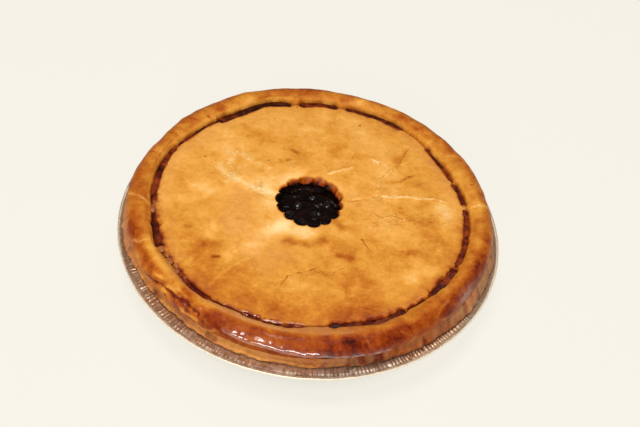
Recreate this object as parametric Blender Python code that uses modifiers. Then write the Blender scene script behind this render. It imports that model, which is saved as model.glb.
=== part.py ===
"""A whole blueberry pie in its foil tin: tin, bottom crust, filling and top crust with a rolled rim.

Blender 4.5, metres, +Z up. The origin is the centre of the tin's flat base, on the surface it stands on.
"""

import math
import random

import bmesh
import bpy
from mathutils import Euler, Vector, noise

MM = 0.001
GAP = 0.35 * MM  # air between two pieces that touch

# Foil tin, a 9 inch pie pan with pleated wall and flange
TIN_RADIUS = 123.0 * MM  # to the outside of the rolled bead
TIN_FLANGE_HEIGHT = 29.0 * MM  # top of the flange above the base
TIN_FLANGE_INNER = 111.5 * MM
TIN_BASE_RADIUS = 86.0 * MM
TIN_SHEET = 0.6 * MM  # thicker than foil, so that it is a sound solid
TIN_CORNER = 3.0 * MM  # rounding where base and wall meet
FLANGE_CORNER = 1.5 * MM  # rounding where wall and flange meet
BEAD_RADIUS = 0.9 * MM
PLEATS = 64
PLEAT_DEPTH = 0.35 * MM  # each way from the middle of the sheet

# The rim and the seam lie a little off the middle of the tin
DRIFT = (-1.2 * MM, 0.8 * MM)

# Bottom crust: a bowl whose edge lies on the flange as a thin lip
BOWL_WALL = 4.2 * MM
LIP_RADIUS = 115.4 * MM
LIP_INNER = 105.2 * MM
LIP_THICKNESS = 3.4 * MM
LIP_ROUNDING = 2.2 * MM
LIP_RAGGED = 0.5 * MM  # how far the lip's edge strays from its line
BOWL_CORNER = 8.0 * MM  # rounding inside the bowl, where base and wall meet
BOWL_BEND = 9.0 * MM  # height where that rounding meets the wall
BOWL_SHOULDER = 25.0 * MM  # height where the bowl's wall turns out into the lip

# Top crust: lid, pressed seam and rolled rim in one sheet
LID_HEIGHT = 46.0 * MM  # at the vent
LID_DOME = 0.9 * MM  # how far the lid rises between vent and seam
LID_THICKNESS = 5.0 * MM
SEAM_RADIUS = 99.9 * MM
SEAM_FLOOR = 42.7 * MM
SEAM_HALF_WIDTH = 1.3 * MM
SEAM_SHOULDER = 1.3 * MM  # rounding of the lid's edge at the seam
LID_RINGS = (36.0 * MM, 58.0 * MM, 78.0 * MM, 91.0 * MM)  # radii where the lid's section has points
LID_UNEVEN = 0.55 * MM
RIM_UNEVEN = 0.45 * MM
RIM_CENTRE = (107.7 * MM, 41.7 * MM)  # radius and height of the middle of the roll
RIM_ROLL = 8.3 * MM  # radius of the roll
RIM_SECTION = (138, 110, 82, 52, 22, -10, -46)  # degrees round the roll where its section has points
RIM_FOOT = 3.4 * MM  # the roll's lowest point lies this far outside its middle
VENT_CENTRE = Vector((-1.9 * MM, 1.4 * MM, 0.0))
VENT_RADIUS = 21.4 * MM  # to the outside of a lobe
VENT_LOBES = 14
VENT_LOBE_DEPTH = 1.6 * MM
VENT_ROUNDING = 1.3 * MM  # of the vent's upper edge
VENT_REACH = 12.0 * MM  # how far round the vent the lid follows its lobes

# The top crust's lower face slopes down between these radii, under the seam and the rim
SLOPE_START = SEAM_RADIUS - 3.0 * MM
SLOPE_END = LIP_INNER + 1.0 * MM

# Filling
FILLING_TOP = LID_HEIGHT - LID_THICKNESS - GAP
VENT_FILLING_HEIGHT = 38.4 * MM
JAM_HEIGHT = 43.8 * MM  # filling that has risen through the seam
BERRY_RADIUS = 4.6 * MM
BERRY_COUNT = 12
BERRY_SPREAD = VENT_RADIUS - 5.5 * MM  # how far from the vent's middle a berry may lie
BERRY_SUNK = (0.50, 0.62)  # least and most share of a berry's radius that its middle lies under the filling
BAR_FOOT = 6.0 * MM  # the filling's bars in the burst seam start this far under the crust's lower face
BAR_PIECE = 3.5  # degrees of a bar to one straight piece of it

TIN_STEPS = 2 * PLEATS
TOP_STEPS = 8 * VENT_LOBES
BOWL_STEPS = 64

# Slow changes round the pie: (degrees, outward shift, reach in degrees)
SEAM_WANDER = (
    (-148, 1.5 * MM, 6), (-128, 1.8 * MM, 6), (-68, -2.0 * MM, 16), (-20, 0.8 * MM, 18),
    (25, -2.2 * MM, 10), (58, 0.9 * MM, 14), (115, 1.5 * MM, 7), (133, -0.7 * MM, 6),
    (160, 1.1 * MM, 9),
)
RIM_SWELL = (
    (-168, -0.5 * MM, 12), (-92, 1.0 * MM, 20), (-50, 0.9 * MM, 16), (-4, -1.7 * MM, 12),
    (28, 1.8 * MM, 12), (58, 0.6 * MM, 8), (82, -0.8 * MM, 7), (120, 0.5 * MM, 10),
    (159, -1.6 * MM, 10),
)
# Where the seam has burst: (first degree, last degree, half the width of the filling that shows)
BURSTS = (
    (-36, -24, 1.3 * MM), (-21, 7, 1.5 * MM), (10, 21, 1.4 * MM), (24, 43, 1.2 * MM),
    (57, 80, 1.3 * MM), (87, 99, 1.4 * MM), (106, 133, 1.3 * MM), (162, 190, 1.6 * MM),
    (198, 212, 2.4 * MM), (226, 239, 1.5 * MM), (253, 258, 1.2 * MM), (285, 308, 1.2 * MM),
)


def material(name, colour, roughness, metallic=0.0):
    made = bpy.data.materials.new(name)
    made.use_nodes = True
    shader = made.node_tree.nodes["Principled BSDF"]
    shader.inputs["Base Color"].default_value = (*colour, 1.0)
    shader.inputs["Roughness"].default_value = roughness
    shader.inputs["Metallic"].default_value = metallic
    return made


def collection(name, shown=True):
    made = bpy.data.collections.new(name)
    bpy.context.scene.collection.children.link(made)
    made.hide_render = not shown
    return made


def baked(obj):
    """Replaces the object's data by its evaluated mesh, welded and with its faces pointing out."""
    bpy.context.view_layer.update()
    graph = bpy.context.evaluated_depsgraph_get()
    mesh = bpy.data.meshes.new_from_object(obj.evaluated_get(graph))
    work = bmesh.new()
    work.from_mesh(mesh)
    bmesh.ops.remove_doubles(work, verts=work.verts, dist=0.001 * MM)
    bmesh.ops.recalc_face_normals(work, faces=work.faces)
    work.to_mesh(mesh)
    work.free()
    made = bpy.data.objects.new(obj.name, mesh)
    made.matrix_world = obj.matrix_world.copy()
    homes = list(obj.users_collection)
    name = obj.name
    bpy.data.objects.remove(obj)
    made.name = name
    for home in homes:
        home.objects.link(made)
    return made


def turned(name, profile, steps, home, closed=False):
    """A profile of (radius, height) points turned once about the Z axis."""
    mesh = bpy.data.meshes.new(name)
    edges = [(i, i + 1) for i in range(len(profile) - 1)]
    if closed:
        edges.append((len(profile) - 1, 0))
    mesh.from_pydata([(r, 0.0, z) for r, z in profile], edges, [])
    obj = bpy.data.objects.new(name, mesh)
    home.objects.link(obj)
    screw = obj.modifiers.new("Turn", "SCREW")
    screw.angle = 2 * math.pi
    screw.steps = steps
    screw.render_steps = steps
    screw.use_merge_vertices = True
    screw.merge_threshold = 0.01 * MM
    return baked(obj)


def shaped(obj, rule):
    """Moves each point of the mesh to where the rule puts it."""
    for vertex in obj.data.vertices:
        vertex.co = rule(vertex.co)
    return obj


def finished(obj, surface):
    obj.data.materials.clear()
    obj.data.materials.append(surface)
    obj.data.shade_smooth()
    obj.data.set_sharp_from_angle(angle=math.radians(38))
    return obj


def ramp(value, low, high):
    """0 below low, 1 above high, and a smooth rise between."""
    t = min(max((value - low) / (high - low), 0.0), 1.0)
    return t * t * (3 - 2 * t)


def wander(angle, bumps):
    """The sum of the bumps' shifts at this angle, in radians."""
    total = 0.0
    for degrees, shift, reach in bumps:
        away = math.degrees(angle) - degrees
        away = (away + 180) % 360 - 180
        total += shift * math.exp(-((away / reach) ** 2))
    return total


def outward(angle, bumps):
    """How far the rim or the seam lies outside its circle at this angle."""
    return DRIFT[0] * math.cos(angle) + DRIFT[1] * math.sin(angle) + wander(angle, bumps)


def at_angle(angle, radius, height=0.0):
    return Vector((radius * math.cos(angle), radius * math.sin(angle), height))


def tin_wall(height, inward=0.0):
    """Radius of the tin's sloping wall at this height, measured inside it."""
    slope = (TIN_FLANGE_INNER - TIN_BASE_RADIUS) / TIN_FLANGE_HEIGHT
    return TIN_BASE_RADIUS + slope * height - inward


def build_tin(home):
    top = TIN_FLANGE_HEIGHT
    sheet = TIN_SHEET
    bead = TIN_RADIUS - BEAD_RADIUS
    neck = bead - 0.8 * BEAD_RADIUS
    turn_up = 0.7 * TIN_CORNER
    turn_out = top - FLANGE_CORNER
    profile = [
        (0.0, sheet),
        (TIN_BASE_RADIUS - TIN_CORNER, sheet),
        (tin_wall(turn_up, sheet), turn_up),
        (tin_wall(turn_out, sheet), turn_out),
        (TIN_FLANGE_INNER + 0.4 * FLANGE_CORNER, top),
        (neck, top),
        (bead, top + 0.55 * BEAD_RADIUS),
        (TIN_RADIUS, top - 0.35 * BEAD_RADIUS),
        (bead, top - 1.35 * BEAD_RADIUS),
        (neck, top - sheet),
        (TIN_FLANGE_INNER + 0.4 * FLANGE_CORNER + 0.5 * sheet, top - sheet),
        (tin_wall(turn_out - sheet), turn_out - sheet),
        (tin_wall(turn_up - sheet), turn_up - sheet),
        (TIN_BASE_RADIUS - TIN_CORNER + 2.0 * sheet, 0.0),
        (0.0, 0.0),
    ]

    def pleated(point):
        radius = math.hypot(point.x, point.y)
        if not TIN_BASE_RADIUS < radius <= neck:
            return point
        angle = math.atan2(point.y, point.x)
        wave = PLEAT_DEPTH * math.cos(PLEATS * angle)
        on_flange = ramp(radius, TIN_FLANGE_INNER - FLANGE_CORNER, TIN_FLANGE_INNER)
        moved = at_angle(angle, radius + wave * (1 - on_flange), point.z)
        moved.z += wave * on_flange
        return moved

    tin = turned("foil_tin", profile, TIN_STEPS, home)
    shaped(tin, pleated)
    return finished(tin, material("Foil", (0.80, 0.78, 0.74), 0.28, 1.0))


def build_bottom_crust(home):
    clear = TIN_SHEET + PLEAT_DEPTH + 2 * GAP
    base = TIN_SHEET + GAP
    lip_base = TIN_FLANGE_HEIGHT + PLEAT_DEPTH + GAP
    lip_top = lip_base + LIP_THICKNESS
    bend = TIN_FLANGE_HEIGHT - 2.0 * FLANGE_CORNER
    profile = [
        (0.0, base + BOWL_WALL),
        (TIN_BASE_RADIUS - BOWL_CORNER, base + BOWL_WALL),
        (tin_wall(BOWL_BEND, clear + BOWL_WALL), BOWL_BEND),
        (tin_wall(BOWL_SHOULDER, clear + BOWL_WALL), BOWL_SHOULDER),
        (LIP_INNER, lip_top),
        (LIP_RADIUS - LIP_ROUNDING, lip_top),
        (LIP_RADIUS - 0.25 * LIP_ROUNDING, lip_top - 0.25 * LIP_THICKNESS),
        (LIP_RADIUS, lip_base + 0.3 * LIP_THICKNESS),
        (LIP_RADIUS - 0.35 * LIP_ROUNDING, lip_base),
        (TIN_FLANGE_INNER, lip_base),
        (tin_wall(bend, clear), bend),
        (tin_wall(TIN_CORNER, clear), TIN_CORNER),
        (TIN_BASE_RADIUS - 0.6 * BOWL_CORNER, base),
        (0.0, base),
    ]

    def uneven(point):
        radius = math.hypot(point.x, point.y)
        edge = ramp(radius, LIP_RADIUS - LIP_ROUNDING - 1.0 * MM, LIP_RADIUS)
        if edge == 0.0:
            return point
        angle = math.atan2(point.y, point.x)
        shift = 0.55 * outward(angle, RIM_SWELL) + LIP_RAGGED * noise.noise(point * 90)
        return at_angle(angle, radius + shift * edge, point.z)

    crust = turned("bottom_crust", profile, BOWL_STEPS, home)
    shaped(crust, uneven)
    return finished(crust, material("Bottom crust", (0.60, 0.33, 0.10), 0.55))


def rim_point(degrees, roll=RIM_ROLL):
    """A point of the rolled rim's section, at this angle round the roll from straight out."""
    angle = math.radians(degrees)
    return (RIM_CENTRE[0] + roll * math.cos(angle), RIM_CENTRE[1] + roll * math.sin(angle))


def lid_height(radius):
    """Height of the lid's upper face between the vent and the seam."""
    middle = 0.5 * (VENT_RADIUS + SEAM_RADIUS)
    half = 0.5 * (SEAM_RADIUS - VENT_RADIUS)
    across = (radius - middle) / half
    return LID_HEIGHT + LID_DOME * (1 - across * across)


def underside(radius):
    """Height of the top crust's lower face: flat under the lid, sloping down under the seam and rim."""
    low = TIN_FLANGE_HEIGHT + PLEAT_DEPTH + LIP_THICKNESS + 2 * GAP
    high = LID_HEIGHT - LID_THICKNESS
    across = (radius - SLOPE_START) / (SLOPE_END - SLOPE_START)
    return high + (low - high) * min(max(across, 0.0), 1.0)


def lobed(angle):
    """How far inside VENT_RADIUS the scalloped wall lies at this angle."""
    return VENT_LOBE_DEPTH * (1 - abs(math.cos(0.5 * VENT_LOBES * angle)) ** 0.7)


def top_crust_profile():
    seam_in = SEAM_RADIUS - SEAM_HALF_WIDTH
    seam_out = SEAM_RADIUS + SEAM_HALF_WIDTH
    vent_edge = LID_HEIGHT - VENT_ROUNDING
    return (
        [(VENT_RADIUS, LID_HEIGHT - LID_THICKNESS)]
        + [(VENT_RADIUS, vent_edge), (VENT_RADIUS + VENT_ROUNDING, LID_HEIGHT)]
        + [(r, lid_height(r)) for r in LID_RINGS]
        + [(seam_in - SEAM_SHOULDER, LID_HEIGHT - 0.25 * SEAM_SHOULDER)]
        + [(seam_in, SEAM_FLOOR + 0.85 * SEAM_SHOULDER)]
        + [(SEAM_RADIUS, SEAM_FLOOR), (seam_out, SEAM_FLOOR + 1.1 * SEAM_SHOULDER)]
        + [rim_point(d) for d in RIM_SECTION]
        + [(RIM_CENTRE[0] + RIM_FOOT, underside(SLOPE_END))]
        + [(r, underside(r)) for r in (SLOPE_END, SLOPE_START, LID_RINGS[1])]
    )


def top_relief(point):
    """The turned top crust, made uneven: wandering seam, swollen rim, scalloped vent, soft hollows."""
    radius = math.hypot(point.x, point.y)
    angle = math.atan2(point.y, point.x)
    upper = ramp(point.z, underside(radius) + 0.8 * MM, underside(radius) + 2.0 * MM)
    near_seam = ramp(radius, 80 * MM, 96 * MM) * (1 - ramp(radius, 102 * MM, 107 * MM))
    on_rim = ramp(radius, 104 * MM, 110 * MM)
    foot = ramp(radius, SLOPE_END + 1.0 * MM, RIM_CENTRE[0] + RIM_FOOT)
    out = upper * near_seam * outward(angle, SEAM_WANDER)
    out += max(upper, foot) * on_rim * outward(angle, RIM_SWELL)
    near_vent = 1 - ramp(radius, VENT_RADIUS + VENT_ROUNDING, VENT_RADIUS + VENT_REACH)
    out -= near_vent * lobed(angle)
    lift = LID_UNEVEN * noise.noise(point * 45 + Vector((3.1, 7.7, 1.9)))
    lift += RIM_UNEVEN * on_rim * noise.noise(point * 110)
    moved = at_angle(angle, radius + out, point.z + upper * lift)
    return moved + near_vent * VENT_CENTRE


def bar_along_seam(name, burst, grown, low, high, home):
    """A rounded upright bar that follows the seam where it has burst, grown by this much all round."""
    first, last, half_width = burst
    curve = bpy.data.curves.new(name, "CURVE")
    curve.dimensions = "3D"
    curve.bevel_depth = half_width + grown
    curve.bevel_resolution = 0
    curve.extrude = 0.5 * (high - low) - half_width - grown
    curve.use_fill_caps = True
    pieces = max(3, round((last - first) / BAR_PIECE))
    ends = math.degrees(grown / SEAM_RADIUS)
    spline = curve.splines.new("POLY")
    spline.points.add(pieces)
    for i, spot in enumerate(spline.points):
        angle = math.radians(first - ends + (last - first + 2 * ends) * i / pieces)
        radius = SEAM_RADIUS + outward(angle, SEAM_WANDER)
        spot.co = (*at_angle(angle, radius, 0.5 * (low + high)), 1.0)
        spot.radius = 0.75 if i in (0, pieces) else 1.0
    bar = bpy.data.objects.new(name, curve)
    home.objects.link(bar)
    return baked(bar)


def build_top_crust(home, cutters):
    crust = turned("top_crust", top_crust_profile(), TOP_STEPS, home, closed=True)
    shaped(crust, top_relief)
    low, high = underside(SEAM_RADIUS) - BAR_FOOT - 1.0 * MM, LID_HEIGHT + 1.0 * MM
    for i, burst in enumerate(BURSTS):
        slot = bar_along_seam(f"burst_cutter_{i + 1:02d}", burst, GAP, low, high, cutters)
        slot.display_type = "WIRE"
        slot.hide_render = True
    split = crust.modifiers.new("Burst seam", "BOOLEAN")
    split.operation = "DIFFERENCE"
    split.operand_type = "COLLECTION"
    split.collection = cutters
    split.solver = "EXACT"
    return finished(crust, material("Top crust", (0.62, 0.29, 0.07), 0.45))


def filling_profile():
    clear = TIN_SHEET + PLEAT_DEPTH + 3 * GAP + BOWL_WALL
    base = TIN_SHEET + 2 * GAP + BOWL_WALL
    slope_out = LIP_INNER - GAP
    return [
        (0.0, VENT_FILLING_HEIGHT),
        (VENT_RADIUS - 3.0 * MM, VENT_FILLING_HEIGHT),
        (VENT_RADIUS + 4.0 * MM, FILLING_TOP),
        (SLOPE_START - GAP, FILLING_TOP),
        (slope_out, underside(slope_out) - GAP),
        (tin_wall(BOWL_SHOULDER, clear), BOWL_SHOULDER),
        (tin_wall(BOWL_BEND + GAP, clear), BOWL_BEND + GAP),
        (TIN_BASE_RADIUS - BOWL_CORNER - GAP, base),
        (0.0, base),
    ]


def berries(home):
    """Berries half sunk in the filling under the vent, spread on a jittered sunflower spiral."""
    draw = random.Random(9)
    for i in range(BERRY_COUNT):
        angle = i * math.radians(137.5) + draw.uniform(-0.2, 0.2)
        radius = BERRY_SPREAD * math.sqrt((i + 0.4) / BERRY_COUNT)
        size = BERRY_RADIUS * draw.uniform(0.85, 1.15)
        sunk = draw.uniform(*BERRY_SUNK) * size
        bpy.ops.mesh.primitive_ico_sphere_add(subdivisions=2, radius=size)
        berry = bpy.context.object
        berry.name = f"berry_{i + 1:02d}"
        place = VENT_CENTRE + at_angle(angle, radius, VENT_FILLING_HEIGHT - sunk)
        turn = Euler((draw.uniform(0, 3), draw.uniform(0, 3), 0.0)).to_matrix()
        berry.data.transform(turn.to_4x4())
        berry.location = place
        for other in list(berry.users_collection):
            other.objects.unlink(berry)
        home.objects.link(berry)


def build_filling(home):
    filling = turned("filling", filling_profile(), BOWL_STEPS, home)
    extras = collection("filling extras")
    low = underside(SEAM_RADIUS) - BAR_FOOT
    for i, burst in enumerate(BURSTS):
        bar_along_seam(f"jam_{i + 1:02d}", burst, 0.0, low, JAM_HEIGHT, extras)
    berries(extras)
    fuse = filling.modifiers.new("Fuse", "BOOLEAN")
    fuse.operation = "UNION"
    fuse.operand_type = "COLLECTION"
    fuse.collection = extras
    fuse.solver = "MANIFOLD"
    filling = baked(filling)
    for extra in list(extras.objects):
        bpy.data.objects.remove(extra)
    bpy.data.collections.remove(extras)
    return finished(filling, material("Filling", (0.020, 0.008, 0.010), 0.15))


def main():
    for obj in list(bpy.data.objects):
        bpy.data.objects.remove(obj)
    parts = collection("blueberry pie")
    cutters = collection("cutters", shown=False)
    build_tin(parts)
    build_bottom_crust(parts)
    build_filling(parts)
    build_top_crust(parts, cutters)


main()
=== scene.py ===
import math
import random
import bpy
import numpy as np
from mathutils import Euler, Matrix, Vector, noise


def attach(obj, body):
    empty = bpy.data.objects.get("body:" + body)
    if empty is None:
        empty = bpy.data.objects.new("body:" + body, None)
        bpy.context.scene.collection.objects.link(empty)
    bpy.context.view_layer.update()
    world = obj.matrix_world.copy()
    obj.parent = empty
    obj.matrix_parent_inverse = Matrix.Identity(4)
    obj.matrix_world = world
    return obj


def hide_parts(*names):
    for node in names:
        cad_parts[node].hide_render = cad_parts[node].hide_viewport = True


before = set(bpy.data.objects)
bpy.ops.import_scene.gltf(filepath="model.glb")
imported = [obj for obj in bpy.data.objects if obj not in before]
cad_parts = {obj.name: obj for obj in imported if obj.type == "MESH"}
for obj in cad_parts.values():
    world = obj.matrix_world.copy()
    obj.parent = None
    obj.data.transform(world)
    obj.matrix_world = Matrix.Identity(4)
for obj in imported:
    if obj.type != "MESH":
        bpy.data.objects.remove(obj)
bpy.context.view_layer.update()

mm = 0.001

# Sizes shared by the pieces, in millimetres and degrees. They repeat the CAD model's own.
pie = {
    "tinRadius": 123.0, "flangeHeight": 29.0, "flangeInner": 111.5, "baseRadius": 86.0, "beadRadius": 0.9,
    "drift": (-1.2, 0.8),  # rim and seam lie this far off the tin's middle
    "lipRadius": 115.4, "lipInner": 105.2, "lipThick": 3.4, "bowlWall": 4.2,
    "lidHeight": 46.0, "lidDome": 0.9, "lidThick": 5.0, "seamRadius": 99.9,
    "rimRadius": 107.7, "rimHeight": 41.7, "rimRoll": 8.3, "rimFoot": 3.4,
    "ventCentre": (-1.9, 1.4), "ventRadius": 21.4, "ventLobes": 14, "ventReach": 12.0,
    "ventFilling": 38.4,
}
seamWander = ((-148, 1.5, 6), (-128, 1.8, 6), (-68, -2.0, 16), (-20, 0.8, 18), (25, -2.2, 10),
              (58, 0.9, 14), (115, 1.5, 7), (133, -0.7, 6), (160, 1.1, 9), (-62, 2.8, 9), (-98, 1.3, 8),
              (-120, 1.6, 7), (-44, 0.9, 7), (38, -1.9, 8), (-167, -0.9, 12), (127, -2.3, 12), (101, -2.2, 7),
              (150, -1.3, 10), (84, -1.0, 6))  # degree, outward shift, reach
rimSwell = ((-168, 0.7, 12), (-92, 1.0, 20), (-56, 1.5, 18), (-6, 1.5, 15), (28, 0.9, 12),
            (58, 0.6, 8), (82, -0.8, 7), (120, 0.5, 10), (159, -1.6, 10))
bursts = ((-40, -23, 2.3), (-22, 8, 1.7), (9, 22, 1.6), (23, 44, 1.4), (57, 82, 2.1), (85, 101, 2.6),
          (104, 138, 2.9), (134, 161, 1.15), (157, 191, 1.9), (188, 200, 1.3), (197, 213, 2.3),
          (211, 225, 1.4), (223, 240, 1.9), (241, 252, 1.0), (251, 259, 1.5), (258, 266, 1.4),
          (265, 273, 1.7), (281, 309, 2.3), (310, 318, 1.0))  # first degree, last degree, half width
# Layers of soft lumps by name, for shapes and for tones: height, size, seed
layers = {
    "seamHalf": ((0.30, 8.0, 4.0),), "seamInner": ((0.34, 3.4, 11.0), (0.16, 1.5, 17.0)),
    "seamOuter": ((0.30, 4.0, 23.0), (0.14, 1.6, 29.0)),
    "crustSlow": ((0.55, 1000 / 45, (3.1, 7.7, 1.9)),), "rimSlow": ((0.45, 1000 / 110, 0.0),),
    "lid": ((0.20, 9.0, 31.0), (0.07, 3.2, 37.0)), "ventWall": ((0.15, 2.2, 59.0),),
    "rim": ((0.34, 12.0, 41.0), (0.16, 4.2, 43.0), (0.07, 2.2, 45.0)),
    "bend": ((0.8, 6.0, 61.0), (0.3, 2.5, 63.0)), "foldBend": ((5, 9.0, 67.0),),
    "crumple": ((0.20, 5.0, 71.0), (0.25, 2.2, 73.0)), "candied": ((0.8, 2.6, 129.0),),
    "crackWidth": ((0.5, 3.0, 77.0),), "crackDepth": ((0.5, 2.4, 75.0),), "pits": ((0.5, 2.0, 79.0),),
    "torn": ((0.8, 3.6, 81.0), (0.3, 1.7, 84.0)), "wrinkled": ((1.0, 2.6, 82.0),),
    "lidX": ((1.0, 7.0, 83.0), (0.5, 3.0, 85.0)), "lidY": ((1.0, 7.0, 89.0), (0.5, 3.0, 91.0)),
    "threads": ((0.9, 3.5, 87.0),), "crinkles": ((1.0, 22.0, 93.0),), "star": ((1.0, 11.0, 97.0),),
    "rimBake": ((0.10, 16.0, 101.0), (0.06, 6.5, 103.0)), "seamStain": ((0.5, 7.0, 107.0), (0.4, 2.6, 108.0)),
    "seeped": ((1.0, 4.5, 119.0), (0.5, 1.9, 121.0)), "juiceTop": ((0.9, 3.0, 111.0), (0.5, 1.2, 113.0)),
    "wallBake": ((0.16, 3.0, 117.0),), "tornBake": ((1.0, 5.0, 109.0),), "glaze": ((1.0, 9.0, 127.0),),
    "filling": ((1.3, 5.0, 3.0), (0.35, 2.2, 5.0)), "berrySheen": ((0.22, 0.9, 33.0),),
    "jam": ((0.34, 5.5, 131.0), (0.16, 2.2, 137.0)), "jamSunk": ((1.0, 11.0, 141.0),),
    "lipEdge": ((0.9, 14.0, 149.0), (0.8, 5.0, 151.0), (0.4, 1.8, 157.0)),
    "lipStreak": ((1.0, 1.7, 183.0), (0.6, 0.9, 187.0)), "lipTop": ((0.9, 7.0, 163.0), (0.6, 2.6, 167.0)),
    "lipGroove": ((0.6, 9.0, 169.0),), "lipFolds": ((0.8, 4.2, 175.0),), "lipDust": ((0.28, 2.4, 189.0),),
    "lipBake": ((0.14, 8.0, 173.0), (0.14, 2.6, 179.0)), "lipStain": ((1.0, 5.0, 181.0),),
    "ribSkew": ((1.2, 16.0, 191.0), (0.5, 5.0, 193.0)), "ribHeight": ((0.8, 7.0, 197.0),),
    "flange": ((0.25, 16.0, 199.0),), "foldsSlow": ((1.0, 2.6, 201.0),), "foldsFine": ((0.5, 1.7, 203.0),),
    "bead": ((0.2, 11.0, 211.0),), "dirt": ((1.0, 5.0, 223.0), (0.5, 1.8, 227.0)),
}
# What changes round the pie, by name: degree of its middle, strength, reach in degrees
places = {
    "ventFlare": ((80, 2.6, 75),), "torn": ((-127, 1.0, 11),), "wrinkled": ((-31, 1.0, 5),),
    "browned": ((-60, 1.0, 48),), "brownest": ((-76, 0.04, 22),), "seeped": ((-156, 1.0, 17),),
    "soaked": ((-55, 1.6, 50), (100, 1.3, 50), (-156, 2.0, 20), (64, 1.2, 14), (-64, 0.9, 12)),
    "juiceTop": ((180, 6.0, 44),), "insideDust": ((-100, 1.0, 34),), "sticky": ((-108, 0.16, 20),),
    "margin": ((160, 0.7, 60), (40, 0.5, 30)),
    "wetter": ((114, 0.70, 18), (68, 0.35, 9), (36, 0.4, 5), (-66, 0.2, 10), (-158, 0.35, 9), (-36, 0.3, 6)),
    "lipFrontRight": ((-56, 1.0, 18),), "paintedCrustReflection": ((-132, 0.5, 26), (-46, 0.75, 14)),
}
# Where something begins and is full, and for four numbers also where it fades and is gone
spans = {
    "nearBoth": (80, 96, 102, 107), "onRim": (104, 110), "onFoot": (107.2, 111.2), "burst": (0.15, 0.75),
    "ventFlare": (40.5, 45.4), "ventEdge": (45.0, 46.0), "lidEdge": (84, 97), "lidToRim": (101.0, 104.5),
    "torn": (-40, -15, 50, 75), "wrinkled": (-30, -10, 48, 66), "crinkles": (0.0, 0.5), "star": (-0.5, 0.4),
    "toFront": (-40, 90), "toRight": (-30, 60), "face": (55, 100), "inside": (84, 104), "sides": (40, 90),
    "outerEdge": (-8, 22), "margin": (84, 94, 98.5, 100.5), "ragStain": (0.2, 0.9), "seeped": (-0.5, 0.35),
    "tornBake": (-0.3, 0.5), "sheen": (0.0, 0.5), "jamSunk": (-0.1, 0.5), "jamClosed": (0.05, 0.55),
    "lipTop": (106, 110), "lipHollow": (106, 108), "lipStain": (0.25, 0.6), "lipStreak": (0.1, 0.7),
    "flangeTop": (113, 122), "onWall": (1.0, 4.0), "wallEnd": (110.5, 111.6), "onBead": (120.5, 121.8),
    "dirt": (0.45, 0.75), "dirtFront": (-60, 60), "dirtFlat": (112, 115, 119.5, 121),
    "paintedCrustReflection": (110, 113, 119.8, 121.2), "shelf": (117.5, 119.0, 121.0, 121.6), "shelfSides": (90, 110),
    "shadeLineSides": (50, 100), "deeper": (85, 105), "paintedReflection": (120.9, 121.8), "ventFloor": (19.5, 23.0),
}


def ramp(value, low, high):
    share = np.clip((value - low) / (high - low), 0.0, 1.0)
    return share * share * (3 - 2 * share)


def within(value, name):  # 0 outside the named span, 1 inside it
    low, high, *fall = spans[name]
    return ramp(value, low, high) * (1 - ramp(value, *fall)) if fall else ramp(value, low, high)


def turnAway(degree, middle):  # the shorter way round between two angles, in degrees
    return (degree - middle + 180.0) % 360.0 - 180.0


def wander(degree, bumps):
    return sum(shift * bell(turnAway(degree, middle), reach) for middle, shift, reach in bumps)


def outward(degree, bumps):
    turn = np.radians(degree)
    across, along = pie["drift"]
    return across * np.cos(turn) + along * np.sin(turn) + wander(degree, bumps)


def lumps(points, size, seed):  # soft noise from about -1 to 1, one bump about this size
    return np.array([noise.noise(spot) for spot in (points / size + seed).tolist()])


def uneven(points, name):  # the named layers of lumps at each point
    return sum(height * lumps(points, size, seed) for height, size, seed in layers[name])


def shareAt(degree, name):  # strength of the named places at each degree
    return wander(degree, places[name])


def bell(value, reach):  # 1 at nought, less on both sides of it
    return np.exp(-((value / reach) ** 2))


def tinWall(height, inward=0.0):
    slope = (pie["flangeInner"] - pie["baseRadius"]) / pie["flangeHeight"]
    return pie["baseRadius"] + slope * height - inward


def rimPoint(degree):
    turn = math.radians(degree)
    across, up = pie["rimRoll"] * math.cos(turn), pie["rimRoll"] * math.sin(turn)
    return (pie["rimRadius"] + across, pie["rimHeight"] + up)


def lidHeight(radius):
    middle = 0.5 * (pie["ventRadius"] + pie["seamRadius"])
    half = 0.5 * (pie["seamRadius"] - pie["ventRadius"])
    return pie["lidHeight"] + pie["lidDome"] * (1 - ((radius - middle) / half) ** 2)


def pickNothing():
    if bpy.context.object and bpy.context.object.mode != "OBJECT":
        bpy.ops.object.mode_set(mode="OBJECT")
    bpy.ops.object.select_all(action="DESELECT")


def pick(*objects):
    pickNothing()
    for obj in objects:
        obj.select_set(True)
    bpy.context.view_layer.objects.active = objects[0]


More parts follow.
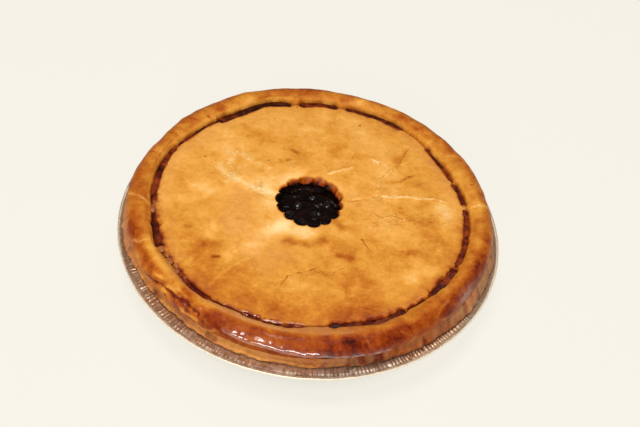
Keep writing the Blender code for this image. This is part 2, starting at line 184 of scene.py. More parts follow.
def turnSection(name, section, steps):  # one point drawn out along the section, then turned about the axis
    pickNothing()
    bpy.ops.mesh.primitive_plane_add(size=mm, location=(section[0][0] * mm, 0, section[0][1] * mm))
    obj = bpy.context.object
    obj.name = name
    obj.data.name = name
    bpy.ops.object.mode_set(mode="EDIT")
    bpy.ops.mesh.merge(type="CENTER")
    for (fromRadius, fromHeight), (toRadius, toHeight) in zip(section, section[1:]):
        step = ((toRadius - fromRadius) * mm, 0, (toHeight - fromHeight) * mm)
        bpy.ops.mesh.extrude_vertices_move(TRANSFORM_OT_translate={"value": step})
    bpy.ops.mesh.select_all(action="SELECT")
    bpy.ops.mesh.remove_doubles(threshold=0.01 * mm)
    bpy.ops.object.mode_set(mode="OBJECT")
    bpy.ops.object.transform_apply(location=True, rotation=True, scale=True)
    turn = obj.modifiers.new("turn", "SCREW")
    turn.steps = steps
    turn.render_steps = steps
    turn.use_merge_vertices = True
    turn.merge_threshold = 0.01 * mm
    bpy.ops.object.modifier_apply(modifier="turn")
    bpy.ops.object.mode_set(mode="EDIT")
    bpy.ops.mesh.select_all(action="SELECT")
    bpy.ops.mesh.remove_doubles(threshold=0.01 * mm)
    bpy.ops.mesh.normals_make_consistent(inside=False)
    bpy.ops.object.mode_set(mode="OBJECT")
    return obj


def readPoints(obj):
    flat = np.empty(len(obj.data.vertices) * 3)
    obj.data.vertices.foreach_get("co", flat)
    return flat.reshape(-1, 3) / mm


def writePoints(obj, points):
    obj.data.vertices.foreach_set("co", (points * mm).ravel())
    obj.data.update()


def paint(obj, name, values):
    layer = obj.data.attributes.new(name, "FLOAT", "POINT")
    layer.data.foreach_set("value", np.asarray(values, float))


def around(points):  # radius and degree of each point round the pie's axis
    return np.hypot(points[:, 0], points[:, 1]), np.degrees(np.arctan2(points[:, 1], points[:, 0]))


def placed(radius, degree, height):
    turn = np.radians(degree)
    return np.column_stack([radius * np.cos(turn), radius * np.sin(turn), height])


def onRing(degree, radius):
    return placed(np.full_like(degree, radius), degree, 0 * degree)


def nearestOf(section, radius, height):  # which of the section's points each vertex was spun from
    where = np.array(section)
    distance = (radius[:, None] - where[None, :, 0]) ** 2 + (height[:, None] - where[None, :, 1]) ** 2
    return distance.argmin(axis=1)


def smooth(obj, degrees=60):
    pick(obj)
    bpy.ops.object.shade_smooth_by_angle(angle=math.radians(degrees))


def dress(obj, material):
    obj.data.materials.clear()
    obj.data.materials.append(material)


def joined(parts, name):
    pick(*parts)
    bpy.ops.object.join()
    bpy.context.object.name = name
    return bpy.context.object


def roughen(obj, depth, size, seed):  # shift every point a little, by its own noise along each axis
    points = readPoints(obj)
    points += depth * np.column_stack([lumps(points, size, seed + 10.0 * axis) for axis in range(3)])
    writePoints(obj, points)
    return points


def tone(red, green, blue):  # a colour as a screen shows it, made linear
    parts = [part / 255 for part in (red, green, blue)]
    return tuple(part / 12.92 if part <= 0.04045 else ((part + 0.055) / 1.055) ** 2.4 for part in parts)


def feed(tree, socket, value):
    if isinstance(value, bpy.types.NodeSocket):
        tree.links.new(value, socket)
    else:
        socket.default_value = value


def calc(tree, operation, *values, clamp=False):
    made = tree.nodes.new("ShaderNodeMath")
    made.operation = operation
    made.use_clamp = clamp
    for socket, value in zip(made.inputs, values):
        feed(tree, socket, value)
    return made.outputs[0]


def times(tree, first, second, clamp=False):
    return calc(tree, "MULTIPLY", first, second, clamp=clamp)


def fused(tree, first, second, third, clamp=False):  # first times second, plus third
    return calc(tree, "MULTIPLY_ADD", first, second, third, clamp=clamp)


def spread(tree, value, fromLow, fromHigh, toLow=0.0, toHigh=1.0):
    made = tree.nodes.new("ShaderNodeMapRange")
    made.interpolation_type = "SMOOTHSTEP"
    parts = {"Value": value, "From Min": fromLow, "From Max": fromHigh, "To Min": toLow, "To Max": toHigh}
    for label, part in parts.items():
        feed(tree, made.inputs[label], part)
    return made.outputs[0]


def grain(tree, place, scale, detail=2.0, rough=0.5, twist=0.0):
    made = tree.nodes.new("ShaderNodeTexNoise")
    feed(tree, made.inputs["Vector"], place)
    made.inputs["Scale"].default_value = scale
    made.inputs["Detail"].default_value = detail
    made.inputs["Roughness"].default_value = rough
    made.inputs["Distortion"].default_value = twist
    return made.outputs[0]


def objectPlace(tree, scale=(1, 1, 1), turn=0.0):
    where = tree.nodes.new("ShaderNodeTexCoord")
    mapping = tree.nodes.new("ShaderNodeMapping")
    mapping.inputs["Scale"].default_value = scale
    mapping.inputs["Rotation"].default_value = (0, 0, math.radians(turn))
    tree.links.new(where.outputs["Object"], mapping.inputs["Vector"])
    return mapping.outputs[0]


def tonesAlong(tree, value, stops):
    made = tree.nodes.new("ShaderNodeValToRGB")
    elements = made.color_ramp.elements
    while len(elements) < len(stops):
        elements.new(0.5)
    for element, (place, colour) in zip(elements, stops):
        element.position = place
        element.color = (*colour, 1.0)
    feed(tree, made.inputs[0], value)
    return made.outputs[0]


def mixed(tree, share, first, second):
    made = tree.nodes.new("ShaderNodeMix")
    made.data_type = "RGBA"
    made.clamp_factor = True
    feed(tree, made.inputs[0], share)
    for socket, colour in ((made.inputs[6], first), (made.inputs[7], second)):
        feed(tree, socket, colour if isinstance(colour, bpy.types.NodeSocket) else (*colour, 1.0))
    return made.outputs[2]


def reads(tree, name):
    made = tree.nodes.new("ShaderNodeAttribute")
    made.attribute_name = name
    return made.outputs["Fac"]


def newGroup(name, inputs, outputs):
    tree = bpy.data.node_groups.new(name, "ShaderNodeTree")
    for label, value in inputs.items():
        made = tree.interface.new_socket(name=label, in_out="INPUT", socket_type="NodeSocketFloat")
        made.default_value = value
    for label, kind in outputs.items():
        tree.interface.new_socket(name=label, in_out="OUTPUT", socket_type=kind)
    return tree, tree.nodes.new("NodeGroupInput").outputs, tree.nodes.new("NodeGroupOutput").inputs


def useGroup(tree, group, **values):
    made = tree.nodes.new("ShaderNodeGroup")
    made.node_tree = group
    for label, value in values.items():
        feed(tree, made.inputs[label], value)
    return made.outputs


def newMaterial(name):
    made = bpy.data.materials.new(name)
    made.use_nodes = True
    return made, made.node_tree, made.node_tree.nodes["Principled BSDF"]


def colourAndRoughness(tree, shader, group):
    tree.links.new(group["Colour"], shader.inputs["Base Color"])
    tree.links.new(group["Roughness"], shader.inputs["Roughness"])


def bump(tree, shader, height, distance, strength=1.0):
    made = tree.nodes.new("ShaderNodeBump")
    made.inputs["Distance"].default_value = distance
    made.inputs["Strength"].default_value = strength
    tree.links.new(height, made.inputs["Height"])
    tree.links.new(made.outputs[0], shader.inputs["Normal"])


floatOut, colourOut = "NodeSocketFloat", "NodeSocketColor"

dough = {
    "ramp": ((0.00, (246, 217, 158)), (0.18, (239, 194, 124)), (0.34, (231, 165, 78)), (0.48, (213, 143, 52)),
             (0.60, (192, 115, 35)), (0.72, (168, 84, 20)), (0.84, (136, 52, 9)), (0.92, (104, 31, 6)),
             (0.97, (60, 15, 5)), (1.00, (16, 6, 5))),  # how far it is baked, and its colour on a screen
    "juice": (108, 34, 9), "flourAndSheen": (228, 166, 104),
    "drawn": (1.0, 1.15, 1.0), "drawnTurn": -12,  # the dough was rolled out this way
    "blotch": (26, 3.0, 0.55, 0.6), "patch": (95, 3.0, 0.6, 0.5), "spot": (230, 2.0, 0.55, 0.3),
    "fleck": (520, 2.0, 0.6), "speck": (1500, 1.0, 0.5),  # scale, detail, roughness, distortion
}


def bakedDoughGroup():  # pastry from cream to dark brown, mottled, with fine grain
    inputs = {"Bake": 0.45, "Stain": 0.0, "Dust": 0.0, "Mottle": 1.0, "Grain": 1.0}
    outputs = {"Colour": colourOut, "Roughness": floatOut, "Height": floatOut}
    tree, given, result = newGroup("bakedDough", inputs, outputs)
    plain = objectPlace(tree)
    drawn = objectPlace(tree, scale=dough["drawn"], turn=dough["drawnTurn"])
    blotch, patch, spot = (calc(tree, "SUBTRACT", grain(tree, drawn, *dough[name]), 0.5)
                           for name in ("blotch", "patch", "spot"))
    fleck = calc(tree, "SUBTRACT", grain(tree, plain, *dough["fleck"]), 0.5)
    speck = grain(tree, plain, *dough["speck"])
    mottled = fused(tree, blotch, 0.44, times(tree, patch, 0.36))
    mottled = times(tree, fused(tree, spot, 0.17, mottled), given["Mottle"])
    fine = times(tree, times(tree, fleck, 0.16), given["Grain"])
    bake = calc(tree, "ADD", calc(tree, "ADD", given["Bake"], mottled), fine)
    colour = tonesAlong(tree, bake, [(place, tone(*colour)) for place, colour in dough["ramp"]])
    # the pale mix is flour, and on the rim partly painted sheen
    dust = fused(tree, patch, 0.9, given["Dust"])
    dust = times(tree, spread(tree, dust, 0.0, 0.9), spread(tree, given["Dust"], 0.0, 0.2))
    colour = mixed(tree, times(tree, dust, 0.6), colour, tone(*dough["flourAndSheen"]))
    soaked = fused(tree, patch, 0.35, given["Stain"])
    soaked = times(tree, spread(tree, soaked, 0.08, 0.80), spread(tree, given["Stain"], 0.0, 0.15))
    colour = mixed(tree, soaked, colour, tone(*dough["juice"]))
    tree.links.new(colour, result["Colour"])
    shine = spread(tree, bake, 0.25, 0.85, 0.60, 0.38)
    shine = fused(tree, patch, 0.25, shine)
    shine = fused(tree, dust, 0.15, shine)
    tree.links.new(fused(tree, soaked, -0.1, shine), result["Roughness"])
    height = fused(tree, fleck, 1.3, times(tree, speck, 0.35))
    height = fused(tree, spot, 1.8, height)
    tree.links.new(times(tree, height, given["Grain"]), result["Height"])
    return tree


hairline = {  # of the noises: scale, detail, roughness, distortion
    "wobble": (300, 3.0, 0.6), "broken": (240, 2.0, 0.6), "width": (420, 1.0),
    "drawn": (1.0, 1.5, 1.0), "turn": -25, "folded": (125, 3.0, 0.55, 0.9), "shown": (80, 2.0, 0.5),
    "crest": (0.500, 0.022), "trough": (0.530, 0.020),  # level of the noise, how wide a band shows
    "paintedShadeBesideRidges": 0.6, "paleFlank": 0.3,
}


def nearLevel(tree, value, level, band):
    return spread(tree, calc(tree, "ABSOLUTE", calc(tree, "SUBTRACT", value, level)), 0.0, band, 1.0, 0.0)


def hairlinesGroup():  # thin cracks and ridges along drawn lines, with painted shade beside the ridges, and small creases of crinkled dough with painted light on their crests and painted shade in their troughs
    inputs = {"Side": 10.0, "Tone": 0.0, "Width": 0.5, "Crinkle": 0.0}
    outputs = {"Dark": floatOut, "Pale": floatOut, "Height": floatOut}
    tree, given, result = newGroup("hairlines", inputs, outputs)
    place = objectPlace(tree)
    wobble = calc(tree, "SUBTRACT", grain(tree, place, *hairline["wobble"]), 0.5)
    broken = spread(tree, grain(tree, place, *hairline["broken"]), 0.36, 0.62, 0.25, 1.0)
    width = spread(tree, grain(tree, place, *hairline["width"]), 0.3, 0.7, 0.5, 1.6)
    width = times(tree, given["Width"], width)
    side = calc(tree, "ABSOLUTE", fused(tree, wobble, 2.6, given["Side"]))
    strength = times(tree, given["Tone"], broken)
    core = spread(tree, side, 0.0, width, 1.0, 0.0)
    edge = spread(tree, side, 0.0, times(tree, width, 3.0), 1.0, 0.0)
    darker = times(tree, strength, -1.0, clamp=True)
    paler = times(tree, strength, 1.0, clamp=True)
    flank = calc(tree, "SUBTRACT", edge, core, clamp=True)

    drawn = objectPlace(tree, scale=hairline["drawn"], turn=hairline["turn"])
    folded = grain(tree, drawn, *hairline["folded"])
    shown = times(tree, spread(tree, grain(tree, place, *hairline["shown"]), 0.44, 0.62), given["Crinkle"])
    crest = times(tree, nearLevel(tree, folded, *hairline["crest"]), shown)
    trough = times(tree, nearLevel(tree, folded, *hairline["trough"]), shown)

    # painted shade on the flanks beside pale ridges, and a paler edge beside dark cracks
    dark = fused(tree, flank, times(tree, paler, hairline["paintedShadeBesideRidges"]), times(tree, core, darker))
    pale = fused(tree, flank, times(tree, darker, hairline["paleFlank"]), times(tree, core, paler))
    # painted light and shade on the crinkles: troughs darker, crests paler, matching their bump
    tree.links.new(fused(tree, trough, 0.6, dark), result["Dark"])
    tree.links.new(fused(tree, crest, 0.7, pale), result["Pale"])
    height = times(tree, edge, strength)
    height = fused(tree, crest, 0.8, height)
    tree.links.new(fused(tree, trough, -0.6, height), result["Height"])
    return tree


print("materials")
bakedDough = bakedDoughGroup()
hairlines = hairlinesGroup()


def crustMaterial():
    made, tree, shader = newMaterial("glazedCrust")
    lines = useGroup(tree, hairlines, Side=reads(tree, "lineSide"), Tone=reads(tree, "lineTone"), Width=0.80,
                     Crinkle=reads(tree, "crinkle"))
    bake = fused(tree, lines["Dark"], 0.24, reads(tree, "bake"))
    bake = fused(tree, lines["Pale"], -0.22, bake)
    pastry = useGroup(tree, bakedDough, Bake=bake, Stain=reads(tree, "stain"), Dust=reads(tree, "dust"))
    glaze = reads(tree, "glaze")
    colourAndRoughness(tree, shader, pastry)
    tree.links.new(glaze, shader.inputs["Coat Weight"])
    shader.inputs["Coat Roughness"].default_value = 0.10
    shader.inputs["Coat IOR"].default_value = 2.5
    shader.inputs["Specular IOR Level"].default_value = 0.07
    ripple = grain(tree, objectPlace(tree, scale=(1.0, 0.7, 0.7)), 620, 2.0, 0.5)
    ripple = times(tree, ripple, times(tree, glaze, 5.0))
    height = fused(tree, lines["Height"], 2.4, pastry["Height"])
    bump(tree, shader, calc(tree, "ADD", height, ripple), 0.00012, 0.8)
    return made


# Inputs of the dough, where a word is an attribute, constants of the shader, and the relief
pastries = {
    "paleCrust": ({"Bake": "bake", "Stain": "stain", "Dust": "dust", "Grain": 1.4},
                  {"Specular IOR Level": 0.15}, (0.00016, 0.9)),
    "crumb": ({"Bake": 0.88, "Dust": 0.40, "Mottle": 0.6, "Grain": 1.5},
              {"Specular IOR Level": 0.30}, (0.00012, 0.9)),
    "soakedCrust": ({"Bake": 0.66, "Stain": 0.36, "Dust": 0.10, "Mottle": 1.6, "Grain": 1.2},
                    {"Coat Weight": 0.12, "Coat Roughness": 0.15}, (0.00014, 0.8)),
}


def pastryMaterial(name):
    made, tree, shader = newMaterial(name)
    given, constants, relief = pastries[name]
    given = {label: reads(tree, value) if isinstance(value, str) else value for label, value in given.items()}
    pastry = useGroup(tree, bakedDough, **given)
    colourAndRoughness(tree, shader, pastry)
    for label, value in constants.items():
        shader.inputs[label].default_value = value
    bump(tree, shader, pastry["Height"], *relief)
    return made


jam = {
    "wet": ((0.30, (6, 2, 1)), (0.55, (14, 5, 3)), (0.78, (34, 15, 9))),
    "dry": ((0.34, (44, 9, 4)), (0.48, (94, 26, 7)), (0.64, (150, 60, 20))),
    "clotScale": 150, "fineScale": 600,
}


def fruitJamGroup():  # dark fruit and syrup, from wet and black to dried and brown
    inputs = {"Scale": 1.0, "Dryness": 0.0}
    outputs = {"Colour": colourOut, "Roughness": floatOut, "Height": floatOut}
    tree, given, result = newGroup("fruitJam", inputs, outputs)
    place = objectPlace(tree)
    clot = grain(tree, place, jam["clotScale"], 3.0, 0.55, 0.6)
    fine = grain(tree, place, jam["fineScale"], 2.0, 0.55)
    wet = tonesAlong(tree, clot, [(at, tone(*colour)) for at, colour in jam["wet"]])
    dry = tonesAlong(tree, clot, [(at, tone(*colour)) for at, colour in jam["dry"]])
    tree.links.new(mixed(tree, given["Dryness"], wet, dry), result["Colour"])
    rough = spread(tree, fine, 0.35, 0.7, 0.12, 0.26)
    tree.links.new(fused(tree, given["Dryness"], 0.24, rough), result["Roughness"])
    height = fused(tree, fine, 0.35, clot)
    tree.links.new(times(tree, height, given["Scale"]), result["Height"])
    return tree


fruitJam = fruitJamGroup()


def jamMaterial(name, dryness, relief, shine):
    made, tree, shader = newMaterial(name)
    dryness = reads(tree, "dryness") if dryness is None else dryness
    fruity = useGroup(tree, fruitJam, Scale=relief, Dryness=dryness)
    colourAndRoughness(tree, shader, fruity)
    shader.inputs["Specular IOR Level"].default_value = shine
    bump(tree, shader, fruity["Height"], 0.00035, 0.6)
    return made


def syrupMaterial():
    made, tree, shader = newMaterial("syrup")
    shader.inputs["Base Color"].default_value = (*tone(150, 62, 20), 1.0)
    shader.inputs["Roughness"].default_value = 0.12
    shader.inputs["Coat Weight"].default_value = 1.0
    shader.inputs["Coat Roughness"].default_value = 0.05
    return made


foil = {
    "light": (236, 224, 202), "dim": (204, 181, 146), "paintedCrustReflection": (160, 105, 58), "soilAndPaintedShade": (104, 58, 24),
    # bead: the colour of the painted reflection on the bead
    "bead": (242, 226, 202),
}


def foilMaterial():
    made, tree, shader = newMaterial("thinFoil")
    place = objectPlace(tree)
    crinkle = grain(tree, place, 210, 2.0, 0.5, 0.8)
    streak = grain(tree, place, 900, 2.0, 0.6)
    colour = tonesAlong(tree, crinkle, ((0.35, tone(*foil["dim"])), (0.6, tone(*foil["light"]))))
    # painted reflection of the crust: the flange near it tinted brown in streaks
    paintedCrustReflection = times(tree, reads(tree, "paintedCrustReflection"), spread(tree, streak, 0.3, 0.65, 0.45, 1.0))
    colour = mixed(tree, paintedCrustReflection, colour, tone(*foil["paintedCrustReflection"]))
    # painted reflection: the bead, and faintly the flange, mixed toward a pale tone and made less metallic,
    # for the white surroundings it reflects
    colour = mixed(tree, times(tree, reads(tree, "paintedReflection"), 0.8), colour, tone(*foil["bead"]))
    # dirt, and the dark line by the bead, painted shade with some brown residue
    colour = mixed(tree, reads(tree, "soilAndPaintedShade"), colour, tone(*foil["soilAndPaintedShade"]))
    tree.links.new(colour, shader.inputs["Base Color"])
    metal = spread(tree, reads(tree, "soilAndPaintedShade"), 0.15, 0.8, 0.95, 0.25)
    metal = fused(tree, reads(tree, "paintedReflection"), -0.75, metal, clamp=True)
    tree.links.new(metal, shader.inputs["Metallic"])
    rough = spread(tree, crinkle, 0.3, 0.7, 0.28, 0.42)
    tree.links.new(fused(tree, reads(tree, "soilAndPaintedShade"), 0.15, rough), shader.inputs["Roughness"])
    bump(tree, shader, fused(tree, streak, 0.25, crinkle), 0.0002, 0.6)
    return made


crust = {
    "steps": 720, "lidRings": 60, "rimRings": 34,
    "ventTop": 44.5, "ventEdge": ((21.55, 45.1), (21.9, 45.6), (22.5, 45.92)), "lidEdge": (23.3, 46.02),
    "lidSpan": (24.4, 93.4), "rimArc": (134, -46), "underFoot": ((106.2, 33.45), (101.5, 37.2)),
    "underRings": (96.9, 84.0, 70.0, 55.0, 40.0, 30.0),
    "lobeDepth": 2.1, "lobeUneven": 0.22, "ventSqueeze": 1.1,
    "floor": 41.3,  # bottom of the burst seam, under the jam
    "templateHalf": 1.3,  # half width of the seam as the section is drawn
    "seamReach": 6.0,
    "creaseDeep": 1.05, "edgeDrop": 0.5,
    "seamOffsets": (-5.5, -4.5, -3.7, -3.0, -2.5, -2.1, -1.8, -1.6, -1.45, -1.3, -1.0, -0.5, 0.0, 0.5, 1.0,
                    1.3, 1.45),
}
crease = {"deep": 0.40, "half": 1.3, "pinchHalf": 1.1, "lidHigh": 0.34, "lidHalf": 1.2}
fold = {
    "line": ((-110, 30), (-106, 28), (-101, 25), (-97, 22), (-93, 18), (-88.5, 13), (-84, 8), (-79, 5),
             (-70, 2), (-62, -4)),  # degree round the pie, degree round the roll
    "out": 1.9, "half": 2.6, "tuck": 1.1, "tuckPlace": 3.2, "tuckHalf": 1.9, "candiedHalf": 2.0,
}
tear = {
    "line": ((-146, -16), (-140, 8), (-135, 32), (-131, 38), (-127, 40), (-123, 42), (-119, 38)),
    "deep": 1.5, "half": 1.15, "flap": 0.7, "flapPlace": 2.2, "flapHalf": 1.5, "pitDeep": 1.1,
    # degree round the pie, degree round the roll, radius
    "pits": ((-124, 48, 1.3), (-123, 17, 1.6), (-125, -27, 1.5), (-117, 15, 1.3), (-129, 34, 1.2),
             (-132, 6, 1.2), (-119, 24, 1.0), (-128, 18, 0.9), (-121, 33, 0.8)),
    "perDegree": 1.97, "perRoll": 0.145,  # millimetres for a degree, round the pie and round the roll
}
tones = {
    "rimMost": 0.85, "under": 0.5,  # how far it is baked
    "juiceTop": 40.7,  # how high the juice has climbed the vent's wall
    "blushLine": ((-44, -2), (-44, -26), (-20, -50)),
}
# What the painted values of the crust are made of: field and its weight
weights = {
    "lidBake": {"all": 0.400, "toFront": 0.075, "toRight": 0.05, "star": -0.16, "marks": 1, "lidEdge": 0.04},
    "rimBake": {"all": 0.605, "face": 0.09, "brownFace": 0.17, "browned": 0.04, "pinch": -0.07,
                "brownest": 1, "rimUneven": 1, "rimMarks": 1, "underFoldShade": 0.10},
    "seamBake": {"fringeBake": 1, "seeped": 0.16, "pressed": 0.20},
    "ventBake": {"all": 0.76, "ventLow": 0.18, "ventEdge": -0.26, "ventUneven": 1},
    "addedBake": {"tornBake": 0.16, "juicy": 0.8},
    "stain": {"fringeStain": 1, "pits": 0.9, "crack": 0.9, "underFoldShade": 0.15, "seeped": 0.42},
    # dust: on the top of the rim at the front (inside) and on its outer edge this is paler flour and painted
    # sheen together
    "dust": {"inside": 0.55, "margin": 0.32, "blush": 0.30, "outerEdge": 0.35, "pinch": 0.40, "floury": 0.28},
    "glaze": {"candied": 0.95, "sticky": 1, "torn": 0.05, "juicy": 0.06, "wrinkled": 0.6, "sheen": 0.015},
}
# Marks on the lid: change of bake, half width, then the line in millimetres
marks = (
    (-0.12, 5.0, ((-14, -20), (-28, -33), (-36, -46), (-45, -53))),
    (-0.07, 1.7, ((-29, -48), (-36, -55), (-44, -63), (-49, -71), (-53, -78))),
    (-0.16, 2.4, ((-21, 4), (-38, 7), (-53, 14), (-64, 22))),
    (-0.12, 2.2, ((-31, 27), (-41, 31), (-53, 39))), (-0.1, 5.0, ((-64, 43), (-56, 36))),
    (-0.1, 4.0, ((-75, 2), (-68, 0))), (-0.1, 6.0, ((-62, -38), (-60, -33))),
    (-0.12, 5.0, ((-37, 15), (-21, 18))), (-0.05, 12.0, ((14, 38), (30, 34), (44, 34))),
    (-0.05, 10.0, ((44, -2), (60, -24))), (0.05, 12.0, ((-8, -52), (-20, -74))),
    (-0.2, 1.2, ((9, 30), (16, 34), (22, 38))), (-0.2, 1.2, ((45, 14), (58, 16), (76, 18))),
    (-0.18, 6.0, ((83, 14), (88, 4), (85, -2))), (-0.2, 6.0, ((64, -53), (69, -43), (76, -45))),
    (-0.16, 6.0, ((-29, 3), (-28, -12))), (-0.14, 6.0, ((-24, -21), (-12, -27), (0, -26))),
    (-0.14, 2.0, ((-57, 27), (-56, 29))), (-0.12, 1.5, ((35, 48), (40, 45))),
    (-0.12, 1.6, ((-69, -63), (-67, -59))), (0.24, 3.6, ((-13, -35), (2, -36), (10, -31))),
    (0.2, 3.2, ((20, -42), (27, -44))), (0.22, 3.0, ((15, -13), (20, -18))),
    (0.16, 5.5, ((-27, -11), (-24, -17))), (0.14, 2.4, ((51, 48), (52, 52))),
    (0.1, 2.0, ((60, 64), (56, 55), (52, 43))), (0.12, 1.6, ((64, 38), (59, 34), (54, 30), (47, 27))),
    (0.3, 1.3, ((-55, -56), (-51, -55))), (0.2, 1.6, ((-75, -33), (-73, -33))),
    (0.24, 1.5, ((-21, 37), (-20, 38))), (0.24, 1.4, ((-18, 47), (-14, 45))),
    (0.2, 1.2, ((-25, 36), (-24, 35))), (0.1, 9.0, ((-66, -48), (-58, -71), (-48, -87))),
    (0.1, 5.0, ((-62, -46), (-55, -44))), (0.08, 5.0, ((-49, 65), (-46, 60))),
    (0.1, 3.0, ((-85, -15), (-84, -18))), (0.12, 10.0, ((-30, -86), (0, -90), (40, -82))),
    (0.1, 4.0, ((80, 18), (69, 9))), (0.09, 5.0, ((88, -28), (84, -20))),
    (0.1, 3.5, ((53, 5), (66, -6), (79, -2))), (0.1, 3.0, ((63, -31), (66, -30))),
)
# Thin cracks, below 0, and ridges, above 0: strength, then the line
threads = (
    (0.9, ((41, 19), (41, 27), (48, 38), (52, 43))), (-0.7, ((52, 43), (56, 55), (60, 64))),
    (-0.8, ((20, 5), (30, 9), (36, 11), (42, 14))),
    (1.0, ((44, 14), (52, 14), (58, 17), (66, 16), (77, 18), (86, 17))),
    (-0.9, ((33, -26), (36, -31), (40, -36))),
    (-1.0, ((7, -55), (1, -58), (-9, -63), (-11, -69), (-13, -74))),
    (0.7, ((38, -2), (44, -8), (51, -3), (57, -5), (62, -3))), (-0.7, ((64, 38), (59, 34), (54, 30))),
    (-0.6, ((17, 39), (22, 47), (24, 54))), (0.8, ((9, 30), (16, 34), (22, 38))),
    (0.7, ((35, 48), (39, 45), (40, 47))), (-0.5, ((-60, 20), (-55, 17), (-49, 13))),
    (0.2, ((-53, 14), (-38, 8), (-24, 4))),
    (0.15, ((-29, -48), (-36, -55), (-44, -63), (-49, -71), (-53, -78))), (-0.5, ((18, -56), (24, -51))),
    (0.6, ((-53, 38), (-46, 33), (-40, 28))),
)
# Where the lid has crinkled: strength, reach, then the line
crinkled = (
    (1.0, 9.0, ((-60, 22), (-48, 12), (-34, 6))), (0.9, 8.0, ((-55, 40), (-38, 26))),
    (0.7, 8.0, ((-44, -4), (-44, -22))), (1.0, 8.0, ((30, 8), (50, 12), (78, 16))),
    (0.9, 8.0, ((44, 22), (54, 40))), (0.9, 8.0, ((36, -6), (62, -4), (80, -2))),
    (0.7, 6.0, ((14, 34), (24, 48))), (0.7, 7.0, ((10, -57), (-14, -72))),
    (0.6, 7.0, ((-30, -48), (-52, -76))), (0.6, 7.0, ((84, 14), (90, -4))),
    (0.5, 8.0, ((24, -40), (40, -34))), (0.5, 9.0, ((-20, 30), (-14, 48))),
)
# The rim laid flat: change of bake, half width, then degree round the pie and degree round the roll
rimMarks = (
    (0.11, 3.6, ((-115, 50), (-109, 62), (-100, 66))), (0.07, 3.4, ((-150, 50), (-142, 61))),
    (0.07, 3.4, ((-15, 48), (-22, 28), (-28, 36))), (0.15, 3.4, ((-45, 32), (-53, 32))),
    (0.13, 3.0, ((-33, 24), (-39, 34))), (-0.06, 4.0, ((-68, 44), (-76, 40))),
    (0.06, 6.0, ((-112, 30), (-98, 34), (-88, 26))), (0.07, 4.0, ((-84, 62), (-98, 60))),
    (0.07, 2.6, ((54, 122), (46, 114))), (0.07, 2.8, ((60, 89), (62, 84))),
    (0.3, 0.8, ((18, 93), (18, 96))), (0.26, 1.0, ((139, 118), (137, 158))),
    (0.07, 3.0, ((134, 112), (131, 120))), (0.07, 3.4, ((-177, 92), (-172, 88))),
    (0.07, 4.0, ((-162, 76), (-156, 16))), (0.06, 4.0, ((108, 95), (98, 90))),
    (0.06, 4.0, ((40, 90), (28, 80))), (-0.06, 1.3, ((-58, 56), (-55, 0))),
    (-0.06, 1.3, ((-38, 66), (-42, 60), (-45, 46), (-44, 20))), (-0.1, 1.5, ((7, 120), (8, 30))),
    # the pale strokes by the tear, from here to (-128, 24), are painted highlights on its raised dough
    (-0.2, 1.2, ((-136, 58), (-139, 46))), (-0.2, 1.2, ((-132, 52), (-127, 49))),
    (-0.18, 1.2, ((-129, 70), (-124, 62))), (-0.2, 1.3, ((-126, 8), (-119, 4))),
    (-0.16, 1.3, ((-112, 8), (-115, -20))), (-0.16, 1.4, ((-133, 22), (-128, 24))),
    (-0.18, 3.4, ((77, 101), (76, 90))), (-0.12, 3.0, ((-152, 96), (-136, 84), (-130, 72))),
    (-0.1, 3.5, ((3, 60), (-4, 40))),
)
# Creases across the roll: strength, then the line in the same two degrees
rimThreads = (
    (0.9, ((154, 94), (154, 150))), (0.9, ((166, 78), (165, 123))),
    (1.0, ((-174, 32), (-172, 84), (-168, 126))), (0.8, ((34, 112), (33, 80), (30, 50))),
    (0.9, ((7, 128), (8, 70), (9, 22))), (0.45, ((-58, 56), (-56, 30), (-54, 4), (-55, -14))),
    (0.5, ((-38, 66), (-42, 60), (-45, 46), (-44, 22), (-42, 4))), (0.7, ((-69, 56), (-68, 24))),
    (0.8, ((-157, 0), (-153, 50), (-151, 95))), (0.8, ((-138, 48), (-134, 60))),
    (0.7, ((-131, 51), (-128, 69))), (0.7, ((-124, 6), (-126, -20))), (0.8, ((-113, 8), (-115, -26))),
    (0.6, ((78, 110), (76, 84))), (-0.6, ((118, 60), (116, 100))), (0.5, ((-20, 100), (-22, 70))),
)


def strokeField(across, along, line):  # distance to a line, the same with a side, and how far past its ends
    best = np.full(across.shape, 1e9)
    side = np.zeros_like(across)
    past = np.zeros_like(across)
    last = len(line) - 2
    for i, ((x0, y0), (x1, y1)) in enumerate(zip(line, line[1:])):
        dx, dy = x1 - x0, y1 - y0
        length = math.hypot(dx, dy)
        share = ((across - x0) * dx + (along - y0) * dy) / length ** 2
        held = np.clip(share, 0, 1)
        away = np.hypot(across - x0 - held * dx, along - y0 - held * dy)
        lateral = ((across - x0) * dy - (along - y0) * dx) / length
        beyond = np.zeros_like(across)
        if i == 0:
            beyond = np.maximum(beyond, -share * length)
        if i == last:
            beyond = np.maximum(beyond, (share - 1) * length)
        nearer = away < best
        best = np.where(nearer, away, best)
        side = np.where(nearer, np.copysign(away, lateral), side)
        past = np.where(nearer, beyond, past)
    return best, side, past


def rimStroke(degree, roll, line):  # the same on the rim's face, laid flat in millimetres
    perDegree = math.radians(pie["rimRadius"] + 0.6 * pie["rimRoll"])
    perRoll = math.radians(pie["rimRoll"])
    start = line[0][0]
    laid = [(turnAway(d, start) * perDegree, r * perRoll) for d, r in line]
    return strokeField(turnAway(degree, start) * perDegree, roll * perRoll, laid)


